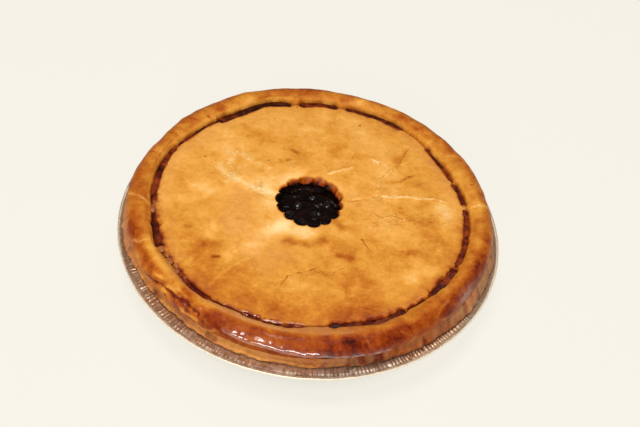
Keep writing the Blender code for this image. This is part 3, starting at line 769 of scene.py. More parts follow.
def openness(degree):  # how far the seam has burst here, 0 to 1, and its half width
    share = np.zeros_like(degree)
    half = np.full_like(degree, 0.8)
    for first, last, width in bursts:
        middle, reach = 0.5 * (first + last), 0.5 * (last - first)
        inside = 1 - ramp(np.abs(turnAway(degree, middle)), reach - 1.6, reach + 1.0)
        half = np.where(inside > share, 0.8 + (width - 0.8) * inside, half)
        share = np.maximum(share, inside)
    return share, half * (1 + uneven(onRing(degree, pie["seamRadius"]), "seamHalf") * share)


def seamBase(offset):  # the crust's face across the seam if it had not been pressed in
    radius = pie["seamRadius"] + offset
    onLid = lidHeight(radius) - 0.45 * np.exp(np.minimum(offset, 0.0) / 1.6)
    return onLid + 1.2 * ramp(offset, 0.3, 1.7)


def crustSection():
    lowVent = pie["lidHeight"] - pie["lidThick"]
    section = [(pie["ventRadius"], height, "vent") for height in np.linspace(lowVent, crust["ventTop"], 8)]
    section += [(r, z, "vent") for r, z in crust["ventEdge"]] + [(*crust["lidEdge"], "lid")]
    section += [(r, lidHeight(r), "lid") for r in np.linspace(*crust["lidSpan"], crust["lidRings"])]
    section += [(pie["seamRadius"] + u, float(seamBase(np.array(u))), "seam") for u in crust["seamOffsets"]]
    section += [(*rimPoint(d), "rim") for d in np.linspace(*crust["rimArc"], crust["rimRings"])]
    section += [(pie["rimRadius"] + pie["rimFoot"], crust["underFoot"][0][1], "under")]
    section += [(r, z, "under") for r, z in crust["underFoot"]]
    section += [(r, lowVent, "under") for r in crust["underRings"]]
    return section


def creaseRim(bent, roll, rim, swell):  # side, tone and pinch of the creases across the rim, and its swell
    side = np.full_like(roll, 9.0)
    lineTone = np.zeros_like(roll)
    pinch = np.zeros_like(roll)
    for strength, line in rimThreads:
        best, lateral, beyond = rimStroke(bent, roll, line)
        shown = rim * (1 - ramp(best, 1.6, 3.2)) * (1 - ramp(beyond, 0.0, 1.0))
        side = np.where(shown > np.abs(lineTone), lateral, side)
        lineTone = np.where(shown > np.abs(lineTone), 0.35 * shown * strength, lineTone)
        fades = rim * bell(beyond, 2.0)
        pinch = np.maximum(pinch, strength * fades * bell(best, crease["pinchHalf"]))
        swell = swell - crease["deep"] * abs(strength) * fades * bell(best, crease["half"])
    return side, lineTone, pinch, swell


def strokes(table, measure):  # change of bake where the table's strokes lie
    return sum(change * bell(measure(line)[0], width) for change, width, line in table)


def weighed(name, fields):  # the named sum of fields
    return sum(weight * fields[field] for field, weight in weights[name].items())


def buildTopCrust():
    section = crustSection()
    outline = [(r, z) for r, z, zone in section]
    obj = turnSection("topCrust", outline + outline[:1], crust["steps"])
    points = readPoints(obj)
    radius, degree = around(points)
    zone = np.array([zone for r, z, zone in section])[nearestOf(outline, radius, points[:, 2])]
    height = points[:, 2].copy()
    ring = onRing(degree, pie["seamRadius"])  # where each spoke meets the seam
    lid, seam, rim, vent = zone == "lid", zone == "seam", zone == "rim", zone == "vent"
    upper = 1.0 * (zone != "under")
    roll = np.degrees(np.arctan2(height - pie["rimHeight"], radius - pie["rimRadius"]))

    # the seam: open where it burst, a pressed crease elsewhere
    share, half = openness(degree)
    offset = radius - pie["seamRadius"]
    away = np.abs(offset)
    template = crust["templateHalf"]
    inner = away <= template
    pushed = offset + np.sign(offset) * (half - template) * (1 - ramp(away, template, crust["seamReach"]))
    stretched = np.where(inner, offset * half / template, pushed)
    ragged = np.where(offset < 0, uneven(ring, "seamInner"), uneven(ring, "seamOuter"))
    stretched = stretched + bell(away - 1.4, 1.1) * share * ragged
    nearSeam = seam | (rim & (offset < 7)) | (lid & (offset > -12))
    radiusNew = np.where(nearSeam, pie["seamRadius"] + stretched, radius)
    base = np.where(seam, seamBase(offset), height)
    closed = base - crust["creaseDeep"] * bell(offset, 1.1)
    opened = np.where(inner, crust["floor"], base - crust["edgeDrop"] * np.exp(-(away - template) / 0.7))
    height = np.where(seam, closed + (opened - closed) * within(share, "burst"), height)

    # the same slow shifts as the solid
    nearBoth = within(radius, "nearBoth")
    onRim = within(radius, "onRim")
    shift = upper * nearBoth * outward(degree, seamWander)
    shift = shift + np.maximum(upper, within(radius, "onFoot")) * onRim * outward(degree, rimSwell)
    nearVent = 1 - ramp(radius, 22.7, pie["ventRadius"] + pie["ventReach"])
    lobe = np.floor((degree + 180.0 / pie["ventLobes"]) / (360.0 / pie["ventLobes"]))
    lobeSize = 1 + crust["lobeUneven"] * np.sin(lobe * 2.4 + 0.7)
    cusp = 1 - np.abs(np.cos(np.radians(degree) * pie["ventLobes"] / 2)) ** 0.7
    squeeze = crust["ventSqueeze"] * np.cos(np.radians(degree)) ** 2
    shift = shift - nearVent * (crust["lobeDepth"] * cusp * lobeSize + squeeze)
    flared = np.where(vent, within(height, "ventFlare"), upper)
    shift = shift + shareAt(degree, "ventFlare") * nearVent * flared
    lift = (uneven(points, "crustSlow") + onRim * uneven(points, "rimSlow")) * upper

    # finer unevenness of hand-rolled dough
    onLid = 1.0 * (lid | (seam & (offset < -1.45)))
    lift = lift + onLid * uneven(points, "lid")
    shift = shift + vent * uneven(points, "ventWall")
    bent = degree + uneven(points, "bend")
    side, lineTone, pinch, swell = creaseRim(bent, roll, rim, rim * uneven(points, "rim"))

    # the wrinkled fold along the front of the rim, and the tuck under it
    best, lateral, beyond = rimStroke(degree, roll + uneven(ring, "foldBend"), fold["line"])
    along = rim * (1 - ramp(beyond, 0.0, 3.0))
    crest = along * bell(best, fold["half"]) * (1 + uneven(points, "crumple"))
    tuck = along * bell(lateral - fold["tuckPlace"], fold["tuckHalf"])
    # underFoldShade: the band under the fold, painted darker and more stained, partly a deeper bake and
    # partly painted shade
    underFoldShade = along * ramp(lateral, 0.6, 2.4)
    swell = swell + fold["out"] * crest - fold["tuck"] * tuck
    candied = along * bell(best, fold["candiedHalf"]) * (0.85 + uneven(points, "candied"))

    # the torn stretch at the front left
    best, lateral, beyond = rimStroke(bent, roll, tear["line"])
    crackDepth = rim * bell(best, tear["half"] + uneven(ring, "crackWidth"))
    crackDepth = crackDepth * (0.8 + uneven(ring, "crackDepth"))
    flap = rim * bell(lateral + tear["flapPlace"], tear["flapHalf"]) * (1 - ramp(beyond, 0, 2))
    pits = np.zeros_like(radius)
    pitEdge = 1 + uneven(points, "pits")
    for pitDegree, pitRoll, reach in tear["pits"]:
        away = np.hypot(turnAway(degree, pitDegree) * tear["perDegree"], (roll - pitRoll) * tear["perRoll"])
        pits = np.maximum(pits, rim * bell(away, reach * pitEdge))
    torn = shareAt(degree, "torn") * rim * within(roll, "torn")
    wrinkled = shareAt(degree, "wrinkled") * rim * within(roll, "wrinkled")
    swell = swell - tear["deep"] * crackDepth + tear["flap"] * flap - tear["pitDeep"] * pits
    swell = swell + torn * uneven(points, "torn") + 0.55 * wrinkled * uneven(points, "wrinkled")
    turned = np.radians(roll)
    shift = shift + swell * np.cos(turned)
    lift = lift + swell * np.sin(turned)
    points = placed(radiusNew + shift, degree, height + lift)
    points = points + nearVent[:, None] * np.array([*pie["ventCentre"], 0.0])

    # threads and crinkles on the lid, read where the points now lie
    x = points[:, 0] + uneven(points, "lidX")
    y = points[:, 1] + uneven(points, "lidY")
    for strength, line in threads:
        best, lateral, beyond = strokeField(x, y, line)
        shown = onLid * (1 - ramp(best, 1.5, 3.5)) * (1 - ramp(beyond, 0.0, 1.0))
        side = np.where(shown > np.abs(lineTone), lateral, side)
        lineTone = np.where(shown > np.abs(lineTone), shown * strength, lineTone)
        ridge = onLid * crease["lidHigh"] * strength * bell(best, crease["lidHalf"])
        points[:, 2] += ridge * (0.7 + uneven(points, "threads"))
    crinkle = np.zeros_like(x)
    for strength, reach, line in crinkled:
        crinkle = np.maximum(crinkle, onLid * strength * bell(strokeField(x, y, line)[0], reach))
    crinkle = np.maximum(crinkle, 0.35 * onLid * within(uneven(points, "crinkles"), "crinkles"))
    crinkle = np.maximum(crinkle, rim * (0.25 + 0.7 * torn))
    writePoints(obj, points)
    z = points[:, 2]

    # fields that the painted values are weighed from
    facing = 0.55 + 0.45 * np.cos(np.radians(turnAway(degree, -150)))
    past = (np.abs(offset) - template).clip(0)
    fringe = np.exp(-(past / np.where(offset < 0, 0.9 + shareAt(degree, "soaked"), 0.8)))
    fringe = fringe * share * (seam | (rim & (offset < 5)) | lid)
    ragStain = 0.65 + uneven(points, "seamStain")
    seeped = shareAt(degree, "seeped") * np.exp(-past / 2.4) * (lid | seam) * (offset < 0)
    juiceTop = tones["juiceTop"] + 1.8 * cusp + shareAt(degree, "juiceTop") + uneven(points, "juiceTop")
    juicy = vent * (1 - ramp(z, juiceTop - 0.8, juiceTop + 0.4))
    browned = shareAt(degree, "browned")
    face = 1 - within(roll, "face")
    toSides = 0.3 + 0.7 * within(np.abs(x), "sides")
    fields = {
        "all": 1.0, "toFront": within(-y, "toFront"), "toRight": within(x, "toRight"),
        "star": facing * bell(radius - 24, 11) * within(uneven(onRing(degree, 30.0), "star"), "star"),
        "marks": strokes(marks, lambda line: strokeField(x, y, line)), "lidEdge": within(radius, "lidEdge"),
        "rimMarks": strokes(rimMarks, lambda line: rimStroke(bent, roll, line)),
        "face": face, "browned": browned, "brownFace": face * browned, "pinch": pinch, "underFoldShade": underFoldShade,
        "brownest": shareAt(degree, "brownest"), "rimUneven": uneven(points, "rimBake"),
        "ventLow": 1 - ramp(z, juiceTop + 0.5, juiceTop + 4.5), "ventEdge": within(z, "ventEdge"),
        "ventUneven": uneven(points, "wallBake"), "juicy": juicy,
        "floury": vent * (1 - juicy) * ramp(z, juiceTop + 0.5, juiceTop + 3.5),
        "fringeBake": np.where(offset < 0, 0.34, 0.16) * fringe * ragStain,
        "fringeStain": np.where(offset < 0, 0.65, 0.35) * fringe * within(ragStain, "ragStain"),
        "seeped": seeped * within(uneven(points, "seeped"), "seeped"),
        "pressed": bell(offset, 1.5) * (1 - share) * (seam | lid | rim),
        "torn": torn, "tornBake": torn * within(uneven(points, "tornBake"), "tornBake"),
        "pits": pits, "crack": crackDepth, "wrinkled": wrinkled,
        # painted sheen with flour: the pale band on top of the rim at the front
        "inside": rim * within(roll, "inside") * shareAt(degree, "insideDust"),
        "margin": within(radius, "margin") * (0.3 + shareAt(degree, "margin")),
        "blush": onLid * bell(strokeField(x, y, tones["blushLine"])[0], 16),
        # painted sheen with paler dough: a pale band on the rim's outer edge, strongest at the sides
        "outerEdge": rim * (1 - within(roll, "outerEdge")) * (1 - underFoldShade) * toSides,
        "candied": candied.clip(0, 1) * (1 - 0.9 * underFoldShade),
        "sticky": (0.03 + shareAt(degree, "sticky")) * fringe,
        "sheen": rim * within(uneven(points, "glaze"), "sheen"),
    }
    lidBake = weighed("lidBake", fields)
    rimBake = np.minimum(weighed("rimBake", fields), tones["rimMost"])
    bake = lidBake + (rimBake - lidBake) * within(radius, "lidToRim") + weighed("seamBake", fields)
    bake = np.where(zone == "under", tones["under"], np.where(vent, weighed("ventBake", fields), bake))
    paint(obj, "bake", bake + weighed("addedBake", fields))
    stain = weighed("stain", fields)
    paint(obj, "stain", np.clip(np.where(seam & inner, np.maximum(stain, share), stain), 0, 1))
    for name in ("dust", "glaze"):
        paint(obj, name, np.clip(weighed(name, fields), 0, 1))
    paint(obj, "crinkle", np.clip(crinkle, 0, 1))
    paint(obj, "lineSide", side)
    paint(obj, "lineTone", lineTone)
    smooth(obj, 50)
    dress(obj, crustMaterial())
    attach(obj, "root")
    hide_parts("top_crust")
    return obj


print("top crust")
topCrust = buildTopCrust()
crustPoints = readPoints(topCrust)


fruit = {
    "steps": 200, "seed": 9, "uneven": (0.14, 2.2, 3.0),  # uneven: depth, size, seed
    # across, along, radius, how far it is sunk
    "berries": ((2.9, -1.6, 5.4, 0.80), (-9.5, 5.5, 4.8, 0.86), (9.5, 8.0, 4.6, 0.86),
                (-5.0, -9.5, 4.9, 0.88), (9.0, -10.5, 4.8, 0.86), (-14.0, -3.5, 4.5, 0.90),
                (-1.0, 13.5, 4.6, 0.88)),
    "ventSpan": (0.0, 19.0, 30), "shelf": ((20.5, 38.9), (22.5, 39.7), (25.4, 40.65), (60.0, 40.65),
                                           (96.7, 40.65), (104.85, 34.2)),
    "clear": 0.6 + 0.35 + 3 * 0.35, "base": 0.6 + 0.7,  # left free for the tin's sheet and the gaps
    "waves": (0.4, 1.0, 1.0), "lifted": 0.3,  # drawn out sideways
    "jamTop": 44.95, "jamLow": 41.0, "jamHalf": 1.25, "jamOver": 0.6, "jamSteps": 900, "jamClosed": 3.6,
    "dryness": 0.85,
}


def buildFilling():
    clear, base = fruit["clear"] + pie["bowlWall"], fruit["base"] + pie["bowlWall"]
    outline = [(r, pie["ventFilling"]) for r in np.linspace(*fruit["ventSpan"])] + list(fruit["shelf"])
    outline += [(tinWall(25.0, clear), 25.0), (tinWall(9.4, clear), 9.4)]
    outline += [(pie["baseRadius"] - 8.4, base), (0.0, base)]
    obj = turnSection("fruitFilling", outline, fruit["steps"])
    points = readPoints(obj)
    radius = around(points)[0]
    inVent = (1 - within(radius, "ventFloor")) * (points[:, 2] > 30)
    points[:, 2] += inVent * (uneven(points * np.array(fruit["waves"]), "filling") + fruit["lifted"])
    writePoints(obj, points + inVent[:, None] * np.array([*pie["ventCentre"], 0.0]))
    smooth(obj)
    dress(obj, jamMaterial("darkFilling", 0.0, 0.8, 0.07))
    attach(obj, "root")
    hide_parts("filling")
    return obj


def oneBerry(size):  # a round berry with the five-pointed crown of its blossom end
    pickNothing()
    bpy.ops.mesh.primitive_uv_sphere_add(segments=40, ring_count=24, radius=size * mm)
    obj = bpy.context.object
    obj.name = "berry"
    points = readPoints(obj)
    flat = np.hypot(points[:, 0], points[:, 1]) / size
    degree = np.degrees(np.arctan2(points[:, 1], points[:, 0]))
    top = points[:, 2] > 0
    crown = np.exp(-(((flat - 0.42) / 0.13) ** 2)) * top
    points[:, 2] -= 0.55 * (1 - ramp(flat, 0.15, 0.40)) * top * 1.3
    points[:, 2] += crown * (0.40 + 0.25 * np.cos(np.radians(degree) * 5))
    points[:, 2] *= 0.88
    writePoints(obj, points)
    return obj


def buildBerries():
    draw = random.Random(fruit["seed"])
    made = []
    for x, y, size, sunk in fruit["berries"]:
        berry = oneBerry(size)
        tilt = Euler((draw.uniform(0.1, 0.7), draw.uniform(-0.5, 0.5), draw.uniform(0, 6.3)))
        where = Vector((x, y, pie["ventFilling"] + 1.0 - sunk * size)) * mm
        berry.data.transform(Matrix.Translation(where) @ tilt.to_matrix().to_4x4())
        made.append(berry)
    obj = joined(made, "ventBerries")
    points = roughen(obj, *fruit["uneven"])
    x, y, size, sunk = fruit["berries"][0]
    beside = bell(np.hypot(points[:, 0] - x, points[:, 1] - y) - 2.2, 1.6)
    points[:, 2] += beside * uneven(points, "berrySheen")
    writePoints(obj, points)
    smooth(obj)
    dress(obj, jamMaterial("berrySkin", 0.0, 0.4, 0.26))
    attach(obj, "root")
    return obj


def buildSeamJam():
    half, low, top = fruit["jamHalf"], fruit["jamLow"], fruit["jamTop"]
    middle = pie["seamRadius"]
    crown = [(middle + half * u, top - 0.7 * abs(u) ** 2.6) for u in np.linspace(-1, 1, 13)]
    outline = [(middle - half, low)] + crown + [(middle + half, low)]
    obj = turnSection("seamJam", outline + outline[:1], fruit["jamSteps"])
    points = readPoints(obj)
    radius, degree = around(points)
    share, width = openness(degree)
    radius = middle + (radius - middle) / half * (width + fruit["jamOver"]) + outward(degree, seamWander)
    laid = placed(radius, degree, 0 * radius)
    lift = uneven(laid, "jam") - 0.3 * within(uneven(onRing(degree, middle), "jamSunk"), "jamSunk")
    upper = points[:, 2] > low + 0.1
    height = points[:, 2] + upper * (lift - fruit["jamClosed"] * (1 - within(share, "jamClosed")))
    height = np.where(upper, np.maximum(height, low + 0.2), height - 1.2)
    writePoints(obj, placed(radius, degree, height))
    paint(obj, "dryness", np.clip(fruit["dryness"] - shareAt(degree, "wetter"), 0, 1))
    smooth(obj)
    dress(obj, jamMaterial("driedJam", None, 1.0, 0.14))
    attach(obj, "root")
    return obj


def flatDome(size, stretch, tall, turn, where):  # a small rounded lump lying at a place
    pickNothing()
    bpy.ops.mesh.primitive_uv_sphere_add(segments=12, ring_count=8, radius=size * mm)
    obj = bpy.context.object
    points = readPoints(obj) * np.array((stretch, 1.0, tall))
    turned = np.array(Matrix.Rotation(math.radians(turn), 3, "Z"))
    writePoints(obj, points @ turned.T + np.array(where))
    return obj


def heightAt(x, y):  # top of the crust, or of the jam, over a place
    upper = crustPoints[crustPoints[:, 2] > pie["lidHeight"] - pie["lidThick"] + 0.1]
    return max(upper[np.hypot(upper[:, 0] - x, upper[:, 1] - y).argmin(), 2], fruit["jamTop"] - 0.3)


blister = {
    "places": ((-168, 100.4, 3.0), (-171, 99.2, 1.6), (9, 99.6, 1.8), (-148, 99.6, 2.4), (-145, 98.4, 1.8),
               (-142, 100.0, 2.5), (-139, 98.8, 1.8), (-137, 100.4, 1.6), (-133, 98.6, 1.4)),
    "height": 44.9, "tall": 0.50, "stretch": 1.25,  # places: degree, radius, size
    "uneven": (0.55, 2.4, 5.0),
}


def buildBlisters():  # bubbles of dough and juice that bridge the seam
    made = []
    for degree, radius, size in blister["places"]:
        out = radius + float(outward(degree, seamWander))
        turn = math.radians(degree)
        where = (out * math.cos(turn), out * math.sin(turn), blister["height"])
        made.append(flatDome(size, blister["stretch"], blister["tall"], degree + 90, where))
    obj = joined(made, "blisters")
    roughen(obj, *blister["uneven"])
    smooth(obj)
    dress(obj, pastryMaterial("soakedCrust"))
    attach(obj, "root")
    return obj


syrup = {
    "lidDrops": ((-20, 93, 0.55), (-34, 78, 0.55), (-33, 34, 0.6), (-74, 30, 0.5), (25, 82, 0.6),
                 (41, 45, 0.5), (58, -32, 0.55), (62, -34, 0.45), (39, 90, 0.7), (33, 93, 0.55),
                 (60, 78, 0.5), (-44, 84, 0.4)),
    "seamDrops": ((-30, -94.4, 1.3, 2.2), (-23, -95.0, 1.1, 2.6), (-14, -96.6, 0.8, 2.2),
                  (1, -98.2, 1.2, 2.0), (96, 8, 0.9, 1.3), (-97, 19, 0.7, 1.4)),  # last: length over width
    "tall": 0.35, "lidStretch": 1.2, "uneven": (0.45, 1.6, 7.0),
}


def buildSyrup():  # beads of sugary juice that catch the light
    made = []
    for x, y, size in syrup["lidDrops"]:
        made.append(flatDome(size, syrup["lidStretch"], syrup["tall"], 0, (x, y, heightAt(x, y))))
    for x, y, size, stretch in syrup["seamDrops"]:
        turn = math.degrees(math.atan2(y, x)) + 90
        made.append(flatDome(size, stretch, syrup["tall"], turn, (x, y, heightAt(x, y))))
    obj = joined(made, "syrupBeads")
    roughen(obj, *syrup["uneven"])
    smooth(obj)
    dress(obj, syrupMaterial())
    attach(obj, "root")
    return obj


print("filling")
fruitFilling = buildFilling()
ventBerries = buildBerries()
seamJam = buildSeamJam()
blisters = buildBlisters()
syrupBeads = buildSyrup()


# By degree: how far the lip spreads over the flange, how it fills the hollow under the rim, how baked it is
lip = {
    "overhang": ((-180, 3.7), (-168, 3.9), (-158, 3.2), (-150, 1.6), (-142, 0.4), (-132, -0.3), (-105, 0.0),
                 (-80, 0.0), (-60, 0.6), (-50, 1.4), (-40, 2.4), (-32, 3.6), (-20, 4.0), (18, 4.0), (45, 2.6),
                 (100, 1.5), (150, 2.8), (180, 3.7)),
    "sag": ((-180, 1.0), (-155, 0.9), (-143, 0.3), (-132, 0.0), (-84, 0.0), (-72, 0.35), (-50, 0.6),
            (-38, 0.9), (-25, 1.0), (25, 1.0), (60, 0.6), (120, 0.6), (150, 0.9), (180, 1.0)),
    "bake": ((-180, 0.80), (-150, 0.68), (-124, 0.70), (-114, 0.56), (-100, 0.56), (-90, 0.66), (-80, 0.74),
             (-70, 0.79), (-50, 0.82), (-38, 0.90), (-20, 0.94), (20, 0.92), (90, 0.70), (180, 0.80)),
    "steps": 480, "clear": 0.6 + 0.35 + 0.7, "base": 0.6 + 0.35, "gap": 0.7,  # left free for the tin's sheet
    "round": 2.2, "roundTurns": (20, 40, 60, 78), "roundDown": 1.9,
    "edge": ((0.0, 1.1), (0.15, 0.6), (0.5, 0.2), (0.9, 0.0)),  # inward, up
    "sink": 0.15, "grooveDeep": 0.5, "sagHigh": (2.3, 5.2), "bakedSpan": (0.3, 0.92),
}


def buildBottomCrust():  # a bowl, its edge a thin ragged lip on the flange
    clear, base, wall = lip["clear"], lip["base"], pie["bowlWall"]
    lipBase = pie["flangeHeight"] + lip["gap"]
    lipTop = lipBase + pie["lipThick"]
    end, bend = pie["lipRadius"], lip["round"]
    outline = [(0.0, base + wall), (pie["baseRadius"] - 8, base + wall), (tinWall(9, clear + wall), 9.0),
               (tinWall(25, clear + wall), 25.0), (pie["lipInner"], lipTop)]
    outline += [(r, lipTop) for r in np.linspace(107.0, end - bend, 8)]
    rounded = [(math.sin(math.radians(d)), 1 - math.cos(math.radians(d))) for d in lip["roundTurns"]]
    outline += [(end - bend + bend * across, lipTop - lip["roundDown"] * down) for across, down in rounded]
    outline += [(end - inward, lipBase + up) for inward, up in lip["edge"]]
    outline += [(111.7, lipBase), (tinWall(26, clear), 26.0), (tinWall(3, clear), 3.0)]
    outline += [(pie["baseRadius"] - 5, base), (0.0, base)]
    obj = turnSection("bottomCrust", outline, lip["steps"])
    points = readPoints(obj)
    radius, degree = around(points)
    ring = onRing(degree, end)
    sag = np.interp(degree, *zip(*lip["sag"]))
    streak = uneven(ring, "lipStreak")
    above = 1.0 * (points[:, 2] > lipBase + 0.5)
    onTop = above * within(radius, "lipTop")
    lift = onTop * (uneven(points, "lipTop") - lip["sink"])
    lift = lift - lip["grooveDeep"] * onTop * bell(radius - end + 1.7 + uneven(ring, "lipGroove"), 0.6)
    hollow = within(radius, "lipHollow") * (1 - ramp(radius, 110.6 + 2.2 * sag, 114.6 + 0.7 * sag))
    lift = lift + (lip["sagHigh"][0] + lip["sagHigh"][1] * sag) * above * hollow
    reach = 0.3 * outward(degree, rimSwell) + np.interp(degree, *zip(*lip["overhang"]))
    reach = reach + uneven(ring, "lipEdge")
    folds = 0.6 * onTop * (sag * streak + uneven(points, "lipFolds"))
    radius = radius + ramp(radius, end - 5.0, end) * reach + folds
    writePoints(obj, placed(radius, degree, points[:, 2] + lift))
    tuckedIn = 1 - ramp(radius, end - 4.5, end - 2.2)
    frontRight = shareAt(degree, "lipFrontRight")
    bake = np.interp(degree, *zip(*lip["bake"])) + uneven(points, "lipBake") + 0.08 * sag * streak
    paint(obj, "bake", np.clip(bake + 0.12 * tuckedIn, *lip["bakedSpan"]))
    below = onTop * (1 - ramp(points[:, 2], lipBase + 0.8, lipTop)) * ramp(radius, end - 2, end)
    stain = 0.5 * within(uneven(points, "lipStain"), "lipStain") + 0.12 * tuckedIn + 0.20 * below
    paint(obj, "stain", stain + 0.24 * frontRight + 0.15 * sag * within(streak, "lipStreak"))
    paint(obj, "dust", 0.48 - 0.2 * frontRight + sag * (0.04 + uneven(ring, "lipDust")))
    smooth(obj, 50)
    dress(obj, pastryMaterial("paleCrust"))
    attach(obj, "root")
    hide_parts("bottom_crust")
    return obj


print("bottom crust")
bottomCrust = buildBottomCrust()


tin = {
    "ribs": 320, "stepsPerRib": 5, "sheet": 0.22, "ribDepth": 0.20, "foldDepth": 0.26, "wallDepth": 0.18,
    "base": ((0.0, 0.0), (82.0, 0.0), (84.2, 0.15), (85.6, 0.7)), "wallHeights": (1.6, 6.0, 13.0, 20.0, 26.6),
    "corner": ((111.6, 28.6), (112.4, 28.82)), "flangeFrom": 113.4, "beadDrop": 0.3, "beadFlat": 0.9,
    "groove": (120.5, 0.6, 0.35),  # radius, half width, depth
    "dirt": (0.75, 0.85), "paintedCrustReflection": 0.42, "deeper": 0.3,  # weights of the dirt and of the painted shade line; the painted shade line reaches further at the sides
}


def buildTin():
    top, bead = pie["flangeHeight"], pie["beadRadius"]
    beadMiddle = pie["tinRadius"] - bead
    outline = list(tin["base"]) + [(tinWall(z), z) for z in tin["wallHeights"]]
    outline += [(tinWall(28.0) + 0.2, 28.0), *tin["corner"]]
    outline += [(r, top - tin["sheet"]) for r in np.linspace(tin["flangeFrom"], beadMiddle - 0.8, 9)]
    for turn in map(math.radians, range(-60, 151, 30)):
        low = top - tin["beadDrop"] - bead * tin["beadFlat"] * math.cos(turn)
        outline.append((beadMiddle + bead * math.sin(turn), low))
    obj = turnSection("foilTin", outline, tin["ribs"] * tin["stepsPerRib"])
    points = readPoints(obj)
    radius, degree = around(points)
    ring = onRing(degree, 118.0)
    wave = np.cos(np.radians(degree + uneven(ring, "ribSkew")) * tin["ribs"])
    wave = wave * (0.7 + uneven(ring, "ribHeight"))
    folds = uneven(ring, "foldsSlow") + uneven(placed(radius, degree, 0 * radius), "foldsFine")
    flangeFrom = pie["flangeInner"]
    onFlange = ramp(radius, flangeFrom - 0.5, flangeFrom + 1.5) * (1 - ramp(radius, 119.6, 121.4))
    onWall = within(points[:, 2], "onWall") * (1 - within(radius, "wallEnd")) * (points[:, 2] < 28.3)
    grooveRadius, grooveHalf, grooveDepth = tin["groove"]
    groove = bell(radius - grooveRadius, grooveHalf)
    height = points[:, 2] + (tin["ribDepth"] * wave + tin["foldDepth"] * folds) * onFlange
    height = height + uneven(ring, "flange") * within(radius, "flangeTop") - grooveDepth * groove
    radius = radius + tin["wallDepth"] * (wave + folds) * onWall
    radius = radius - within(radius, "onBead") * (0.15 + 0.05 * folds + uneven(ring, "bead"))
    writePoints(obj, placed(radius, degree, height))
    aside = np.abs(points[:, 0])
    dirt = within(uneven(points, "dirt"), "dirt") * within(-points[:, 1], "dirtFront")
    dirt = dirt * within(radius, "dirtFlat")
    # the dark line in the groove by the bead and on the shelf at the sides is painted shade, with some brown
    # residue; the patches at the front are dirt
    shelf = within(aside, "shelfSides") * within(radius, "shelf")
    line = np.maximum(groove * (0.25 + 0.75 * within(aside, "shadeLineSides")), shelf)
    paint(obj, "soilAndPaintedShade", np.maximum(tin["dirt"][0] * dirt, tin["dirt"][1] * line))
    # painted reflection of the crust on the flange near it
    paint(obj, "paintedCrustReflection", (tin["paintedCrustReflection"] + shareAt(degree, "paintedCrustReflection")) * within(radius, "paintedCrustReflection"))
    deeper = tin["deeper"] * within(aside, "deeper")
    # painted reflection: pale and less metallic on the bead, faintly on the flange, less on the shelf
    paint(obj, "paintedReflection", 0.15 + 0.85 * within(radius - deeper, "paintedReflection") - 0.15 * shelf)
    pick(obj)
    wall = obj.modifiers.new("sheet", "SOLIDIFY")
    wall.thickness = tin["sheet"] * mm
    wall.offset = 0.0
    bpy.ops.object.modifier_apply(modifier="sheet")
    smooth(obj)
    dress(obj, foilMaterial())
    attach(obj, "root")
    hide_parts("foil_tin")
    return obj


print("tin")
foilTin = buildTin()


litter = {
    "seed": 31, "crumbs": 5, "sizes": (0.35, 0.45, 0.6), "sizeSpan": (0.8, 1.2), "radiusSpan": (116.2, 120.6),
    "middles": (-90, -90, -100, -60, -130, 20, 150), "degreeSpan": 45, "lumpy": 0.9,
    "shape": ((0.8, 1.6), (0.7, 1.2), (0.35, 0.7)), "lifted": 0.1,
    "flakes": ((-102, 119.0, 1.0), (-84, 118.6, 0.8), (-55, 119.2, 1.0), (-118, 119.2, 0.7)),
}


def oneCrumb(size, seed, draw):
    pickNothing()
    bpy.ops.mesh.primitive_ico_sphere_add(subdivisions=2, radius=size * mm)
    points = readPoints(bpy.context.object)
    points = points * (1 + litter["lumpy"] * lumps(points, litter["lumpy"] * size, seed)[:, None])
    points = points * np.array([draw.uniform(*span) for span in litter["shape"]])
    turned = np.array(Matrix.Rotation(draw.uniform(0, 6.3), 3, "Z"))
    return bpy.context.object, points @ turned.T


def buildCrumbs():  # crumbs and flakes that lie on the flange
    draw = random.Random(litter["seed"])
    lying = list(litter["flakes"])
    for i in range(litter["crumbs"]):
        size = draw.choice(litter["sizes"]) * draw.uniform(*litter["sizeSpan"])
        degree = draw.choice(litter["middles"]) + draw.uniform(-litter["degreeSpan"], litter["degreeSpan"])
        lying.append((degree, draw.uniform(*litter["radiusSpan"]), size))
    made = []
    for i, (degree, radius, size) in enumerate(lying):
        crumb, points = oneCrumb(size, i * 3.7, draw)
        turn = math.radians(degree)
        up = pie["flangeHeight"] + 0.25 * size + litter["lifted"]
        writePoints(crumb, points + np.array((radius * math.cos(turn), radius * math.sin(turn), up)))
        made.append(crumb)
    obj = joined(made, "crumbs")
    smooth(obj)
    dress(obj, pastryMaterial("crumb"))
    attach(obj, "root")
    return obj


print("crumbs")
crumbs = buildCrumbs()

studio = {
    "floorSize": 6.0, "floorTone": (0.09, 0.088, 0.082), "floorGlow": (0.82, 0.79, 0.71),  # a lit white table
    "shadeReach": (0.090, 0.114), "shadeDeep": 0.25,  # painted shadow: the glow is held back close under the tin
    "sky": (1.0, 0.985, 0.955), "skyStrength": 0.30, "aim": (0, 0, 0.03),
}
lamps = {  # place, width, height, power
    "softboxAbove": ((-0.10, -0.28, 1.2), 0.35, 0.35, 8.8),
    "softboxFront": ((0.3, -1.4, 0.9), 1.4, 1.4, 0.8),
    "spark": ((-0.16, -1.15, 0.66), 0.95, 0.22, 8.0),
    "glint": ((0.30, 0.45, 1.1), 0.12, 0.12, 1.5),
}
view = {"lens": 56.25, "distance": 668.3, "elevation": 45.22, "roll": 7.33, "across": 8.78, "up": 25.97}


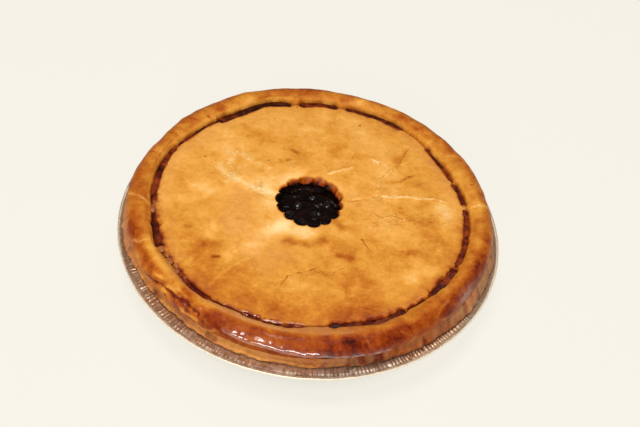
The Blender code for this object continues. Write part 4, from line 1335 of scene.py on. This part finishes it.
def areaLight(name, place, width, height, power):
    bpy.ops.object.light_add(type="AREA", location=place)
    lamp = bpy.context.object
    lamp.name = name
    lamp.data.shape = "RECTANGLE"
    lamp.data.size = width
    lamp.data.size_y = height
    lamp.data.energy = power
    lamp.rotation_euler = (Vector(studio["aim"]) - Vector(place)).to_track_quat("-Z", "Y").to_euler()


def floorMaterial():
    made, tree, shader = newMaterial("paleFloor")
    shader.inputs["Base Color"].default_value = (*studio["floorTone"], 1.0)
    shader.inputs["Roughness"].default_value = 0.7
    shader.inputs["Specular IOR Level"].default_value = 0.2
    apart = tree.nodes.new("ShaderNodeVectorMath")
    apart.operation = "LENGTH"
    tree.links.new(objectPlace(tree), apart.inputs[0])
    near, far = studio["shadeReach"]
    # painted shadow: the floor's glow is dimmed close under the tin
    glowAndPaintedShadow = spread(tree, apart.outputs["Value"], near, far, 1 - studio["shadeDeep"], 1.0)
    tree.links.new(mixed(tree, glowAndPaintedShadow, (0, 0, 0), studio["floorGlow"]), shader.inputs["Emission Color"])
    shader.inputs["Emission Strength"].default_value = 1.0
    return made


def buildStudio():
    pickNothing()
    bpy.ops.mesh.primitive_plane_add(size=studio["floorSize"], location=(0, 0, 0))
    floor = bpy.context.object
    floor.name = "floor"
    dress(floor, floorMaterial())
    world = bpy.data.worlds.new("studio")
    bpy.context.scene.world = world
    world.use_nodes = True
    sky = world.node_tree.nodes["Background"]
    sky.inputs["Color"].default_value = (*studio["sky"], 1.0)
    sky.inputs["Strength"].default_value = studio["skyStrength"]
    for name, numbers in lamps.items():
        areaLight(name, *numbers)
    bpy.context.scene.view_settings.view_transform = "Standard"


def buildCamera():
    tilt, roll = math.radians(view["elevation"]), math.radians(view["roll"])
    back = Vector((0, -math.cos(tilt), math.sin(tilt)))
    level = Vector((1, 0, 0))
    upright = back.cross(level)
    right = math.cos(roll) * level + math.sin(roll) * upright
    up = math.cos(roll) * upright - math.sin(roll) * level
    place = (back * view["distance"] + right * view["across"] + up * view["up"]) * mm
    bpy.ops.object.camera_add()
    camera = bpy.context.object
    camera.data.lens = view["lens"]
    camera.data.clip_start = 0.01
    turn = Matrix((right, up, back)).transposed().to_4x4()
    camera.matrix_world = Matrix.Translation(place) @ turn
    bpy.context.scene.camera = camera


print("studio")
buildStudio()
buildCamera()
